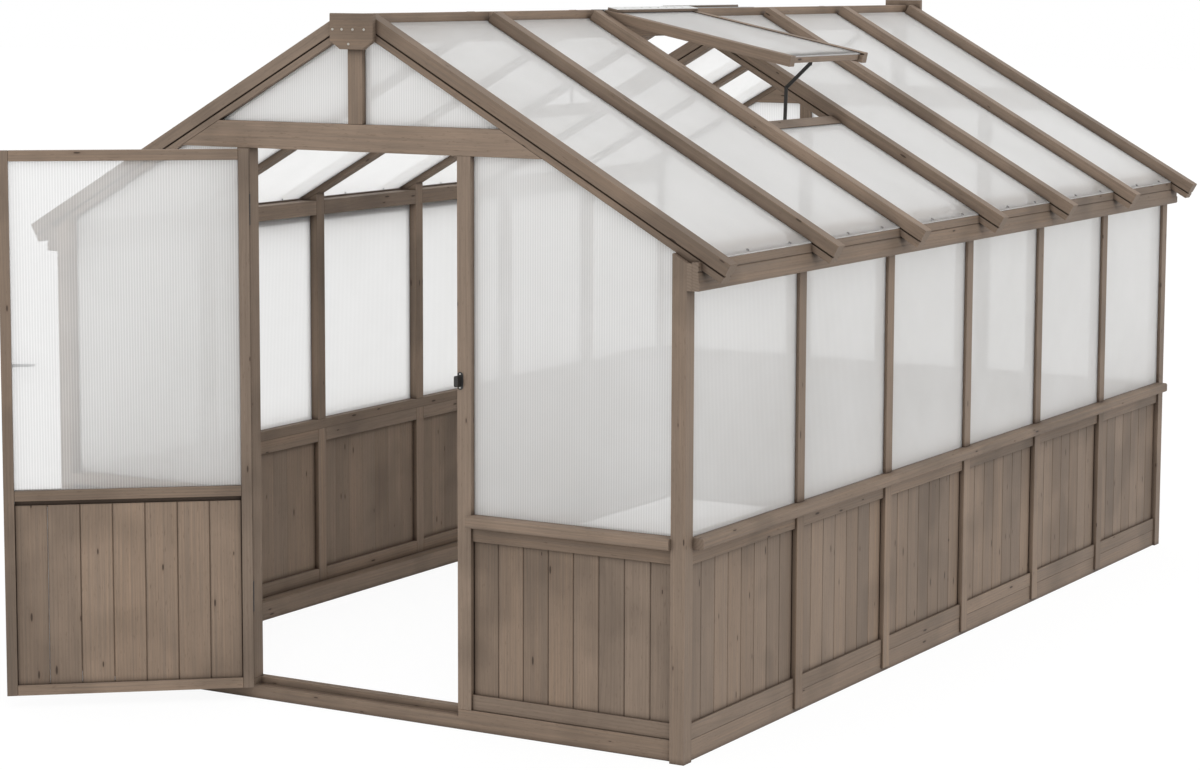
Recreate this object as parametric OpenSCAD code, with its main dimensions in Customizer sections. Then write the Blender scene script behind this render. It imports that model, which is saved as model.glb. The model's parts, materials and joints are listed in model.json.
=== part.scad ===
// Wooden greenhouse: boarded lower walls, twin-wall panes, gable roof, open door, two roof vents.
// Units are millimetres. X runs to the right along the door wall, Y into the house, Z up.
// The origin is on the ground under the middle of the door wall's frame.

/* [House] */
// Width over the outer faces of the side walls
house_width = 2200; // [1900:10:2600]
// Distance between stud centres along the side walls
bay_pitch = 610; // [560:5:660]
// Corner post centre to first stud centre
first_bay = 686; // [640:2:720]
// Last stud centre to back corner post centre
last_bay = 624; // [600:2:680]
// Number of studs in each side wall
stud_count = 5; // [4:1:6]
// Section of posts, studs and jambs
timber = 45; // [42:1:50]
// How far the end walls' frames sit behind the corner posts' outer faces
end_recess = 20; // [16:1:24]

/* [Base and boarded wall] */
// Height of the base sills
sill_height = 60; // [50:1:80]
// Width of the side sills
side_sill_width = 88; // [70:1:110]
// Depth of the front and back sills
end_sill_width = 60; // [46:1:80]
// How far the side sills' faces sit behind the studs' faces
sill_recess = 8; // [6:1:12]
// Height of the studs' feet over the ground
stud_foot = 12; // [4:1:30]
// Height of the bottom and top rails
rail_height = 45; // [35:1:60]
// How far the rails' faces sit behind the studs' faces
rail_recess = 7; // [4:1:10]
// Underside of the sill cap
cap_bottom = 597; // [500:1:700]
// Thickness of the sill cap
cap_thickness = 32; // [24:1:40]
// How far the cap stands out from the wall
cap_overhang = 34; // [20:1:36]
// Rounding of the cap's nose
nose_radius = 7; // [3:0.5:10]
// Nominal width of the wall boards
board_pitch = 82; // [70:1:100]
// Thickness of the wall boards
board_thickness = 12; // [9:0.5:14]
// Size of the boards' edge chamfers
board_chamfer = 2.5; // [1:0.5:4]

/* [Eaves] */
// Height of the side walls, where the rafters' undersides meet their outer faces
wall_height = 1388.27; // [1300:0.01:1500]
// How far the eave boards hang below the tops of the side walls
eave_drop = 75.27; // [60:0.01:90]
// How far the header rails' undersides lie below the tops of the side walls
header_drop = 49.27; // [40:0.01:60]
// Thickness of the eave board
eave_board_thickness = 16; // [12:1:20]
// Thickness of the moulded fascia
fascia_thickness = 23; // [16:1:26]
// Height of the fascia's lower lip
fascia_lip = 26; // [18:1:34]
// Depth of the fascia's upper step
fascia_step = 3; // [2:0.5:5]

/* [Roof] */
// Roof slope in degrees
slope = 29.34; // [27:0.01:32]
// Depth of the rafters square to the slope
rafter_depth = 60; // [54:1:66]
// How far the rafters' top lines run out past the side walls
eave_reach = 122.5; // [100:0.5:150]
// Thickness of the ridge beam
ridge_thickness = 36; // [28:1:44]
// How far the ridge beam's top lies below the meeting of the rafters' top lines
ridge_drop = 27.4; // [24:0.1:35]
// Depth of the ridge beam
ridge_depth = 90; // [70:1:110]
// How far the roof sheets' lower edge lies behind the fascia's face
sheet_setback = 8; // [5:1:10]

/* [Glazing] */
// Thickness of the twin-wall sheets
sheet_thickness = 4; // [3.5:0.1:4.5]
// Depth of the side panes' middle behind the outer faces of the studs
pane_depth = 13.5; // [11:0.5:22.5]
// Depth of the grooves that hold the sheets
groove_depth = 8; // [5:0.5:10]
// Play of a sheet or board in its groove, each side
groove_play = 0.3; // [0.2:0.1:0.6]
// Depth of the rafters' solid wood over the sheet groove
rafter_groove_top = 36.7; // [30:0.1:38]

/* [Gables] */
// How far the tie beam's underside lies over the tops of the side walls
tie_rise = 263.7302; // [252:0.0001:282]
// Height of the tie beam
tie_height = 79; // [60:1:90]
// Width of the king post
king_width = 50; // [45:1:60]
// Width of the ridge plates
plate_width = 150; // [120:2:180]
// Height of the ridge plates
plate_height = 103; // [90:1:110]
// Thickness of the ridge plates
plate_thickness = 18; // [12:1:19]
// Width of the cut lower corners of the plates
plate_cut_width = 36; // [20:1:44]
// Height of the cut lower corners of the plates
plate_cut_height = 24; // [16:1:30]
// How much higher the back ridge plate sits
back_plate_raise = 20; // [0:1:26]

/* [Door] */
// Clear width between the door jambs
doorway_width = 728; // [680:1:760]
// How far the doorway's middle lies to the left of the house's middle
doorway_shift = 15.5; // [0:0.5:20]
// Gap between the closed door and each jamb
door_side_gap = 2; // [1.5:0.1:4]
// Depth of the rebate in the front sill that the door closes into
threshold_drop = 22; // [0:1:30]
// Gap between the closed door and the rebate's floor
door_foot_gap = 3; // [2:0.5:8]
// Gap between the door and the tie beam over it
door_head_gap = 2; // [1:0.5:12]
// Thickness of the door's frame
door_thickness = 30; // [26:1:32]
// Width of the door's stiles and rails
stile_width = 31; // [28:1:40]
// Top of the door's middle rail over the ground
mid_rail_top = 653; // [560:1:800]
// Height of the slot under the door's middle rail
door_slot = 14; // [8:1:18]
// Number of boards in the door
door_board_count = 7; // [5:1:9]
// How far the door stands open in degrees
door_open = 140; // [0:1:140]
// Height of the lever's spindle
lever_height = 1018; // [980:1:1060]
// Length of the lever
lever_length = 82; // [70:1:110]

/* [Roof vents] */
// How far each vent opens in degrees
vent_travel = 17.74; // [14:0.01:17.74]
// Share of that travel at which the vents stand
vent_share = 1; // [0:0.01:1]
// Length of a vent lid from its hinge pin to its free edge
lid_length = 695; // [680:1:700]
// Depth of the lid's side and hinge rails
lid_rail_depth = 34; // [28:1:34]
// Depth of the lid's front rail under its sheet
lid_front_depth = 19; // [12:1:19]
// Width of the lid's rails
lid_rail_width = 34; // [28:1:36]
// How far the lid's sheet lies under the tops of its rails
lid_sheet_inset = 4; // [2:0.5:6]
// Height of the batten over the lid's hinge rail
batten_height = 9; // [6:1:12]
// How far a fully open vent's stay is bent out of the line between its pivots
elbow_stand = 44.278; // [36:0.001:51]
// Width of a link
link_width = 12; // [9:0.5:13]

/* [Hidden] */
$fn = 48;
// gap between touching solids of one node
touch = 0.2;
// overlap of the shapes that make up one solid
hair = 0.01;
// how far a cut runs past the face that it opens
over = 1;
half_width = house_width / 2;
half_timber = timber / 2;
rafter_under = rafter_depth / cos(slope);
apex_height = wall_height + half_width * tan(slope) + rafter_under;
eave_bottom = wall_height - eave_drop;
header_bottom = wall_height - header_drop;
ridge_top = apex_height - ridge_drop;
tie_bottom = wall_height + tie_rise;
front_face = -half_timber - end_recess;
house_length = timber + first_bay + (stud_count - 1) * bay_pitch + last_bay;
back_face = front_face + house_length;
middle_y = (front_face + back_face) / 2;
post_near = front_face + timber;
post_far = back_face - timber;
post_inner = half_width - timber;
cap_top = cap_bottom + cap_thickness;
rail_bottom_top = sill_height + rail_height;
rail_top_bottom = cap_bottom - rail_height;
half_sheet = sheet_thickness / 2;
half_groove = half_sheet + groove_play;
half_board = board_thickness / 2;
half_board_groove = half_board + groove_play;
seat_gap = 1;
seat = groove_depth - seat_gap;
tie_top = tie_bottom + tie_height;
door_bottom = sill_height - threshold_drop + door_foot_gap;
door_width = doorway_width - 2 * door_side_gap;
sheet_groove_low = rafter_groove_top + 2 * half_groove;
sheet_low = rafter_groove_top + half_groove + half_sheet;
sheet_under = sheet_groove_low / cos(slope);
rafter_start = (ridge_thickness / 2 + rafter_depth * sin(slope)) / cos(slope);
rafter_end = (half_width + eave_reach) / cos(slope);
pane_groove_end = (post_inner + groove_depth + rafter_depth * sin(slope)) / cos(slope);
eave_out = half_width + eave_board_thickness;
fascia_out = eave_out + fascia_thickness;
ridge_gap = 2;
sheet_start = (ridge_thickness / 2 + ridge_gap + sheet_groove_low * sin(slope)) / cos(slope);
sheet_rest = fascia_out - sheet_setback;
sheet_end = (sheet_rest + sheet_low * sin(slope)) / cos(slope);
fascia_joint_stud = 3;
fascia_joint = front_face + half_timber + first_bay + fascia_joint_stud * bay_pitch;
screw_head_radius = 4;
screw_head_height = 2;
// places of a ridge plate's screws: X, and fall from the ridge's top
plate_screw_places = [[-64, 45], [-32, 45], [6, 45], [45, 45], [-9, 87]];
plate_rise = 1;
// screws that hold the lower edges of the roof sheets
sheet_head_radius = 4.5;
sheet_shank_radius = 2;
sheet_screw_stand = 6;
sheet_screw_places = [0.39, 0.81];
sheet_screw_s = (eave_out + sheet_screw_stand + sheet_low * sin(slope)) / cos(slope);
shank_reach = ((sheet_rest - eave_out - sheet_screw_stand) * tan(slope)
  - sheet_shank_radius * sin(slope)) / cos(slope);
// door hinge
pin_radius = 4.5;
pin_clearance = 0.5;
leaf_lift = pin_radius + pin_clearance;
leaf_thickness = 1.5;
leaf_height = 92;
leaf_width = 26;
door_edge = door_side_gap / 2;
door_top = tie_bottom - door_head_gap;
hinge_low_rise = 270;
hinge_high_drop = 179;
hinge_low = door_bottom + hinge_low_rise;
hinge_high = door_top - hinge_high_drop;
knuckle_gap = 0.4;
door_outer = leaf_lift;
door_inner = door_outer + door_thickness;
threshold_play = 1.5;
spindle_radius = 5;
spindle_play = 0.05;
rose_radius = 13;
rose_thickness = 5;
rose_play = 0.3;
lever_root = 10;
lever_tip = 6.5;
lever_nose = 4;
lever_depth = 9;
lever_stand = 14;
lever_sink = 1;
spindle_depth = 24;
keeper_height = 51;
keeper_width = 20;
keeper_thickness = 3;
keeper_drop = 5;
keeper_z = lever_height - keeper_drop;
catch_height = 32;
catch_width = 13;
catch_depth = 20;
catch_corner = 5;
catch_start = 1;
// vents
lid_pin_stand = 34;
lid_pin_rise = 0.829;
lid_pin_x = ridge_thickness / 2 + lid_pin_stand;
lid_pin_z = apex_height - lid_pin_x * tan(slope) + lid_pin_rise;
lid_pin_s = lid_pin_x * cos(slope) - (lid_pin_z - apex_height) * sin(slope);
lid_pin_radius = 2.5;
lid_start = 7;
lid_top = 3;
lid_low = lid_top - lid_rail_depth;
lid_sheet_top = lid_top - lid_sheet_inset;
lid_sheet_low = lid_sheet_top - sheet_thickness;
lid_front_setback = 15;
lid_front_end = lid_length - lid_front_setback;
lid_front_start = lid_front_end - lid_rail_width;
batten_start = 12;
batten_width = 36;
lid_play = 2;
lid_fall = slope - vent_travel * vent_share;
trimmer_lap = 46.2455;
trimmer_start = lid_pin_s + lid_length - trimmer_lap;
trimmer_drop = 32;
right_vent_bay = 2;
left_vent_bay = 3;
strip_length = 545;
strip_holes = 10;
strip_pitch = 55;
strip_hole_radius = 5.5;
strip_thickness = 1.5;
hinge_lap = 2;
stay_offset = 21;
base_pivot_stand = 10;
base_pivot_s = trimmer_start - base_pivot_stand;
base_pivot_n = -52;
lid_pivot_stand = 6;
lid_pivot_s = lid_front_start - lid_pivot_stand;
lid_pivot_n = -38;
link_thickness = 2.6;
rivet_radius = 2;
rivet_head = 3.5;
rivet_play = 0.3;
rivet_end = 1;
rivet_head_height = 2;
bore_play = 0.05;
bore_length = 20;
bracket_thickness = 2;
bracket_width = 16;
bracket_lap = 18;
cheek_gap = 3.4;
cheek_edge = 7;
lid_cheek_edge = 5;
base_plate_drop = 6;

// the doorway's edge on either side, and the back of the jamb there
function doorway_edge(side) = doorway_width / 2 - side * doorway_shift;
function jamb_back(side) = doorway_edge(side) + timber;
function stud_y(k) = front_face + half_timber + first_bay + k * bay_pitch;
function line_y(k) = k < 0 ? front_face + half_timber
  : k < stud_count ? stud_y(k) : back_face - half_timber;
function bay_low(k) = line_y(k - 1) + half_timber;
function bay_high(k) = line_y(k) - half_timber;
function rafter_y(k) = k < 0 ? 0 : k < stud_count ? stud_y(k) : 2 * middle_y;
function roof_low(k) = rafter_y(k - 1) + half_timber;
function roof_high(k) = rafter_y(k) - half_timber;
function under_rafter(x) = apex_height - x * tan(slope) - rafter_under;
function under_sheet(x) = apex_height - x * tan(slope) - sheet_under;
function polar(r, a) = [r * cos(a), r * sin(a)];

module block(x0, x1, y0, y1, z0, z1) {
  translate([x0, y0, z0]) cube([x1 - x0, y1 - y0, z1 - z0]);
}
// a profile in X and Z run along Y
module run_y(y0, y1) {
  translate([0, y1, 0]) rotate([90, 0, 0]) linear_extrude(y1 - y0) children();
}
// a profile in Y and Z run along X
module run_x(x0, x1) {
  translate([x0, 0, 0]) rotate([90, 0, 90]) linear_extrude(x1 - x0) children();
}
module right_or_left(side) {
  if (side > 0) children();
  else mirror([1, 0, 0]) children();
}
module front_or_back(end) {
  if (end > 0) children();
  else translate([0, 2 * middle_y, 0]) mirror([0, 1, 0]) children();
}
// local X down the slope, local Z square to it, zero on the rafters' top line
module on_slope() {
  translate([0, 0, apex_height]) rotate([0, slope, 0]) children();
}

module corner_posts(side) {
  color("#7c6b5c") right_or_left(side) for (end = [1, -1]) front_or_back(end) difference() {
    run_y(front_face, post_near) polygon([[post_inner, 0], [half_width, 0],
      [half_width, under_rafter(half_width) - touch],
      [post_inner, under_rafter(post_inner) - touch]]);
    block(half_width - pane_depth - half_groove, half_width - pane_depth + half_groove,
      post_near - groove_depth, post_near + over, cap_top - groove_depth, apex_height);
    block(post_inner - over, post_inner + groove_depth, -half_groove, half_groove,
      cap_top - groove_depth, apex_height);
  }
}
module base_sills_long() {
  color("#75655a") for (side = [1, -1]) right_or_left(side)
    linear_extrude(sill_height) polygon([
      [half_width - sill_recess, post_near], [half_width - sill_recess, post_far],
      [post_inner, post_far], [post_inner, 2 * middle_y + half_timber - end_sill_width],
      [half_width - sill_recess - side_sill_width, 2 * middle_y + half_timber - end_sill_width],
      [half_width - sill_recess - side_sill_width, end_sill_width - half_timber],
      [post_inner, end_sill_width - half_timber], [post_inner, post_near]]);
}
module end_sill() {
  block(-post_inner, post_inner, -half_timber, end_sill_width - half_timber, 0, sill_height);
}
module base_sills_short() {
  color("#75655a") {
    difference() {
      end_sill();
      block(-doorway_edge(-1), doorway_edge(1), -half_timber - over,
        door_thickness + threshold_play - half_timber, sill_height - threshold_drop,
        sill_height + over);
    }
    front_or_back(-1) end_sill();
  }
}
module wall_studs(side) {
  color("#7c6b5c") right_or_left(side) for (k = [0 : stud_count - 1])
    translate([0, stud_y(k), 0]) {
      difference() {
        union() {
          block(post_inner, half_width, -half_timber, half_timber, sill_height, cap_bottom);
          block(half_width - sill_recess, half_width, -half_timber, half_timber,
            stud_foot, sill_height + hair);
        }
        for (turn = [1, -1]) board_slot(turn);
      }
      difference() {
        run_y(-half_timber, half_timber) polygon([[post_inner, cap_top], [half_width, cap_top],
          [half_width, under_rafter(half_width) - touch],
          [post_inner, under_rafter(post_inner) - touch]]);
        for (turn = [1, -1]) pane_slot(turn);
      }
    }
}
module board_slot(turn) {
  low = turn > 0 ? half_timber - groove_depth : -half_timber - over;
  high = turn > 0 ? half_timber + over : -half_timber + groove_depth;
  block(half_width - half_timber - half_board_groove, half_width - half_timber + half_board_groove,
    low, high, rail_bottom_top - groove_depth, rail_top_bottom + groove_depth);
}
module pane_slot(turn) {
  low = turn > 0 ? half_timber - groove_depth : -half_timber - over;
  high = turn > 0 ? half_timber + over : -half_timber + groove_depth;
  block(half_width - pane_depth - half_groove, half_width - pane_depth + half_groove,
    low, high, cap_top, header_bottom + groove_depth);
}
module wall_rails(side) {
  color("#786859") right_or_left(side) for (k = [0 : stud_count]) {
    difference() {
      block(post_inner, half_width - rail_recess, bay_low(k), bay_high(k),
        sill_height, rail_bottom_top);
      block(half_width - half_timber - half_board_groove,
        half_width - half_timber + half_board_groove, bay_low(k) - over, bay_high(k) + over,
        rail_bottom_top - groove_depth, rail_bottom_top + over);
    }
    difference() {
      block(post_inner, half_width - rail_recess, bay_low(k), bay_high(k),
        rail_top_bottom, cap_bottom);
      block(half_width - half_timber - half_board_groove,
        half_width - half_timber + half_board_groove, bay_low(k) - over, bay_high(k) + over,
        rail_top_bottom - over, rail_top_bottom + groove_depth);
    }
  }
}
// one board lying along local X from 0 to its width, face towards minus Y
module board(width, z0, z1) {
  c = board_chamfer;
  translate([0, 0, z0]) linear_extrude(z1 - z0) polygon([[touch, half_board],
    [touch, c - half_board], [touch + c, -half_board], [width - touch - c, -half_board],
    [width - touch, c - half_board], [width - touch, half_board]]);
}
module boards(low, high, z0, z1) {
  count = round((high - low) / board_pitch);
  width = (high - low) / count;
  for (i = [0 : count - 1]) translate([low + i * width, 0, 0]) board(width, z0, z1);
}
module wall_boards(side) {
  color("#74645a") right_or_left(side) translate([half_width - half_timber, 0, 0])
    rotate([0, 0, 90]) for (k = [0 : stud_count])
      boards(bay_low(k), bay_high(k), rail_bottom_top - seat, rail_top_bottom + seat);
}
// cap profile: inner edge at zero, nose towards plus
module cap_profile(depth) {
  r = nose_radius;
  union() {
    translate([0, cap_bottom]) square([depth - r, cap_thickness]);
    translate([depth - r - hair, cap_bottom + r]) square([r + hair, cap_thickness - 2 * r]);
    for (z = [cap_bottom + r, cap_top - r]) translate([depth - r, z]) circle(r);
  }
}
module sill_cap(side) {
  color("#7f6e60") right_or_left(side) difference() {
    translate([post_inner, 0, 0]) run_y(post_near, post_far)
      cap_profile(timber + cap_overhang);
    for (k = [0 : stud_count]) block(half_width - pane_depth - half_groove,
      half_width - pane_depth + half_groove, bay_low(k) - groove_depth,
      bay_high(k) + groove_depth, cap_top - groove_depth, cap_top + over);
  }
}
module header_rails(side) {
  color("#786859") right_or_left(side) for (k = [0 : stud_count]) difference() {
    run_y(max(bay_low(k), roof_low(k)), min(bay_high(k), roof_high(k)))
      polygon([[post_inner, header_bottom], [half_width, header_bottom],
        [half_width, wall_height], [post_inner, wall_height]]);
    block(half_width - pane_depth - half_groove, half_width - pane_depth + half_groove,
      bay_low(k) - over, bay_high(k) + over, header_bottom - over,
      header_bottom + groove_depth);
  }
}
module eave_profile(x0, x1) {
  polygon([[x0, eave_bottom], [x1, eave_bottom], [x1, wall_height], [x0, wall_height]]);
}
module fascia_profile() {
  step = fascia_out - fascia_step;
  lip = eave_bottom + fascia_lip;
  top = under_sheet(sheet_rest) - touch;
  groove = (lip + top) / 2;
  back = eave_out + touch;
  polygon([[back, eave_bottom], [fascia_out - fascia_step, eave_bottom],
    [fascia_out, eave_bottom + fascia_step], [fascia_out, lip - fascia_step], [step, lip],
    [step, groove - fascia_step], [step - fascia_step, groove],
    [step, groove + fascia_step], [step, top], [back, top]]);
}
module rafter_notches() {
  on_slope() for (k = [-1 : stud_count]) block(rafter_start, rafter_end + over,
    rafter_y(k) - half_timber - touch, rafter_y(k) + half_timber + touch,
    -rafter_depth - touch, over);
}
module eave_boards(side) {
  color("#77675a") right_or_left(side) {
    difference() {
      run_y(front_face, back_face) eave_profile(half_width, eave_out);
      rafter_notches();
    }
    difference() {
      union() {
        run_y(front_face, fascia_joint - touch) fascia_profile();
        run_y(fascia_joint + touch, back_face) fascia_profile();
      }
      rafter_notches();
    }
  }
}
module wall_panes(side) {
  color("#dfe5e6", 0.5) right_or_left(side) for (k = [0 : stud_count])
    block(half_width - pane_depth - half_sheet, half_width - pane_depth + half_sheet,
      bay_low(k) - seat, bay_high(k) + seat, cap_top - seat, header_bottom + seat);
}

module end_stud_slots(x0, x1) {
  for (x = [x0 - over, x1 - groove_depth]) {
    block(x, x + groove_depth + over, -half_board_groove, half_board_groove,
      rail_bottom_top - groove_depth, rail_top_bottom + groove_depth);
    block(x, x + groove_depth + over, -half_groove, half_groove,
      cap_top - groove_depth, tie_bottom + over);
  }
}
module end_stud(side, keep_inner_plain) {
  inner = doorway_edge(side);
  right_or_left(side) difference() {
    block(inner, jamb_back(side), -half_timber, half_timber, sill_height, tie_bottom);
    difference() {
      end_stud_slots(inner, jamb_back(side));
      if (keep_inner_plain) block(inner - 2 * over, inner + half_timber, -half_timber,
        half_timber, 0, apex_height);
    }
  }
}
module front_jambs() {
  color("#7c6b5c") {
    end_stud(-1, true);
    difference() {
      end_stud(1, true);
      at_keeper() translate([0, 0, -keeper_thickness - touch])
        linear_extrude(keeper_thickness + touch + over) keeper_outline(touch);
    }
  }
}
module end_rails(x0, x1) {
  face = rail_recess - half_timber;
  difference() {
    block(x0, x1, face, half_timber, sill_height, rail_bottom_top);
    block(x0 - over, x1 + over, -half_board_groove, half_board_groove,
      rail_bottom_top - groove_depth, rail_bottom_top + over);
  }
  difference() {
    block(x0, x1, face, half_timber, rail_top_bottom, cap_bottom);
    block(x0 - over, x1 + over, -half_board_groove, half_board_groove,
      rail_top_bottom - over, rail_top_bottom + groove_depth);
  }
}
module end_cap(x0, x1) {
  difference() {
    translate([0, half_timber, 0]) mirror([0, 1, 0]) run_x(x0, x1)
      cap_profile(timber + cap_overhang);
    block(x0 - over, x1 + over, -half_groove, half_groove, cap_top - groove_depth,
      cap_top + over);
  }
}
module end_boards(x0, x1) {
  boards(x0, x1, rail_bottom_top - seat, rail_top_bottom + seat);
}
module end_pane(x0, x1) {
  run_y(-half_sheet, half_sheet) intersection() {
    translate([x0 - seat, cap_top - seat])
      square([x1 - x0 + 2 * seat, tie_bottom - cap_top + 2 * seat]);
    polygon([[-hair, 0], [half_width, 0],
      [half_width, under_rafter(half_width) + seat], [-hair, under_rafter(0) + seat]]);
  }
}
module front_rails() {
  color("#786859") for (side = [1, -1]) right_or_left(side) end_rails(jamb_back(side), post_inner);
}
module front_boards(side) {
  color("#74645a") right_or_left(side) end_boards(jamb_back(side), post_inner);
}
module front_caps() {
  color("#7f6e60") for (side = [1, -1]) right_or_left(side) end_cap(jamb_back(side), post_inner);
}
module gable_pane() {
  low = tie_top - seat;
  inner = king_width / 2 - seat;
  outer = (under_rafter(0) + seat - low) / tan(slope);
  run_y(-half_sheet, half_sheet) polygon([[inner, low], [outer, low],
    [inner, under_rafter(inner) + seat]]);
}
module front_panes() {
  color("#dfe5e6", 0.5) for (side = [1, -1]) right_or_left(side) {
    end_pane(jamb_back(side), post_inner);
    gable_pane();
  }
}
module back_studs() {
  color("#7c6b5c") front_or_back(-1) for (side = [1, -1]) end_stud(side, false);
}
module back_rails() {
  color("#786859") front_or_back(-1) {
    for (side = [1, -1]) right_or_left(side) end_rails(jamb_back(side), post_inner);
    end_rails(-doorway_edge(-1), doorway_edge(1));
  }
}
module back_boards() {
  color("#74645a") front_or_back(-1) {
    for (side = [1, -1]) right_or_left(side) end_boards(jamb_back(side), post_inner);
    end_boards(-doorway_edge(-1), doorway_edge(1));
  }
}
module back_caps() {
  color("#7f6e60") front_or_back(-1) {
    for (side = [1, -1]) right_or_left(side) end_cap(jamb_back(side), post_inner);
    end_cap(-doorway_edge(-1), doorway_edge(1));
  }
}
module back_panes() {
  color("#dfe5e6", 0.5) front_or_back(-1) {
    for (side = [1, -1]) right_or_left(side) {
      end_pane(jamb_back(side), post_inner);
      gable_pane();
    }
    block(-doorway_edge(-1) - seat, doorway_edge(1) + seat, -half_sheet, half_sheet,
      cap_top - seat, tie_bottom + seat);
  }
}
function tie_reach(z) = (under_rafter(0) - touch - z) / tan(slope);
module gable_frame() {
  difference() {
    run_y(-half_timber, half_timber) polygon([[-tie_reach(tie_bottom), tie_bottom],
      [tie_reach(tie_bottom), tie_bottom], [tie_reach(tie_top), tie_top],
      [-tie_reach(tie_top), tie_top]]);
    block(-half_width, half_width, -half_groove, half_groove,
      tie_top - groove_depth, tie_top + over);
    for (side = [1, -1]) right_or_left(side) block(jamb_back(side) - groove_depth, half_width,
      -half_groove, half_groove, tie_bottom - over, tie_bottom + groove_depth);
  }
  difference() {
    block(-king_width / 2, king_width / 2, -half_timber, half_timber,
      tie_top + touch, ridge_top - ridge_depth - touch);
    for (x = [-king_width / 2 - over, king_width / 2 - groove_depth])
      block(x, x + groove_depth + over, -half_groove, half_groove, tie_top, ridge_top);
  }
}
module gable_frames() {
  color("#7c6b5c") {
    gable_frame();
    difference() {
      front_or_back(-1) gable_frame();
      block(-doorway_edge(-1) - groove_depth, doorway_edge(1) + groove_depth,
        2 * middle_y - half_groove, 2 * middle_y + half_groove, tie_bottom - over,
        tie_bottom + groove_depth);
    }
  }
}
module ridge_beam() {
  color("#77675a") for (run = [[-half_timber, stud_y(0)],
    [stud_y(0) + 2 * touch, 2 * middle_y + half_timber]])
      block(-ridge_thickness / 2, ridge_thickness / 2, run[0], run[1],
        ridge_top - ridge_depth, ridge_top);
}
module ridge_plate(top) {
  half = plate_width / 2;
  low = top - plate_height;
  run_y(-half_timber - plate_thickness, -half_timber) polygon([
    [plate_cut_width - half, low], [half - plate_cut_width, low],
    [half, low + plate_cut_height], [half, top], [-half, top],
    [-half, low + plate_cut_height]]);
}
module ridge_plates() {
  color("#7f6e60") {
    ridge_plate(ridge_top + plate_rise);
    front_or_back(-1) ridge_plate(ridge_top + back_plate_raise);
  }
}
module plate_screw_set(top) {
  for (p = plate_screw_places)
    translate([p[0], -half_timber - plate_thickness, top - p[1]]) rotate([90, 0, 0])
      cylinder(h = screw_head_height, r = screw_head_radius);
}
module plate_screws() {
  color("#b9b4a8") {
    plate_screw_set(ridge_top);
    front_or_back(-1) plate_screw_set(ridge_top + back_plate_raise);
  }
}

module rafter(k) {
  y = rafter_y(k);
  difference() {
    on_slope() block(rafter_start, rafter_end, y - half_timber, y + half_timber,
      -rafter_depth, 0);
    for (edge = [y + half_timber - groove_depth, y - half_timber - over]) on_slope()
      block(rafter_start - over, rafter_end + over, edge, edge + groove_depth + over,
        -sheet_groove_low, -rafter_groove_top);
    if (k < 0 || k == stud_count) on_slope() block(rafter_start - over, pane_groove_end,
      y - half_groove, y + half_groove, -rafter_depth - over, -rafter_depth + groove_depth);
  }
}
module rafters(side) {
  color("#7a6a5b") right_or_left(side) for (k = [-1 : stud_count]) rafter(k);
}
module roof_sheets(side, vent_bay) {
  color("#dfe5e6", 0.5) right_or_left(side) on_slope() for (k = [0 : stud_count])
    difference() {
      block(k == vent_bay ? trimmer_start + timber - seat : sheet_start, sheet_end,
        roof_low(k) - seat, roof_high(k) + seat, -sheet_low, sheet_thickness - sheet_low);
      for (y = screw_lines(k)) translate([sheet_screw_s, y, -sheet_low - over])
        cylinder(h = sheet_thickness + 2 * over, r = sheet_shank_radius + touch);
    }
}
function screw_lines(k) = [for (part = sheet_screw_places)
  roof_low(k) + part * (roof_high(k) - roof_low(k))];
module sheet_screws() {
  color("#5d5a57") for (side = [1, -1]) right_or_left(side) on_slope()
    for (k = [0 : stud_count]) for (y = screw_lines(k))
      translate([sheet_screw_s, y, sheet_thickness - sheet_low]) {
        translate([0, 0, touch / 2])
          cylinder(h = screw_head_height, r = sheet_head_radius);
        translate([0, 0, -sheet_thickness - shank_reach])
          cylinder(h = sheet_thickness + shank_reach + touch / 2 + hair, r = sheet_shank_radius);
      }
}
module trimmer(bay) {
  on_slope() difference() {
    block(trimmer_start, trimmer_start + timber, roof_low(bay), roof_high(bay),
      -rafter_depth, -trimmer_drop);
    block(trimmer_start + timber - groove_depth, trimmer_start + timber + over,
      roof_low(bay) - over, roof_high(bay) + over, -sheet_groove_low, -rafter_groove_top);
  }
}
module vent_trimmers() {
  color("#786859") {
    trimmer(right_vent_bay);
    mirror([1, 0, 0]) trimmer(left_vent_bay);
  }
}
function bay_middle(bay) = (roof_low(bay) + roof_high(bay)) / 2;
function stay_y(bay) = bay_middle(bay) - stay_offset;
module vent_hinge(bay) {
  low = bay_middle(bay) - strip_length / 2;
  block(hinge_lap, lid_pin_x, low, low + strip_length, ridge_top, ridge_top + strip_thickness);
  translate([lid_pin_x, low, lid_pin_z]) rotate([-90, 0, 0])
    cylinder(h = strip_length, r = lid_pin_radius);
}
module vent_hinges() {
  color("#4a4541") {
    vent_hinge(right_vent_bay);
    mirror([1, 0, 0]) vent_hinge(left_vent_bay);
  }
}
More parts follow.
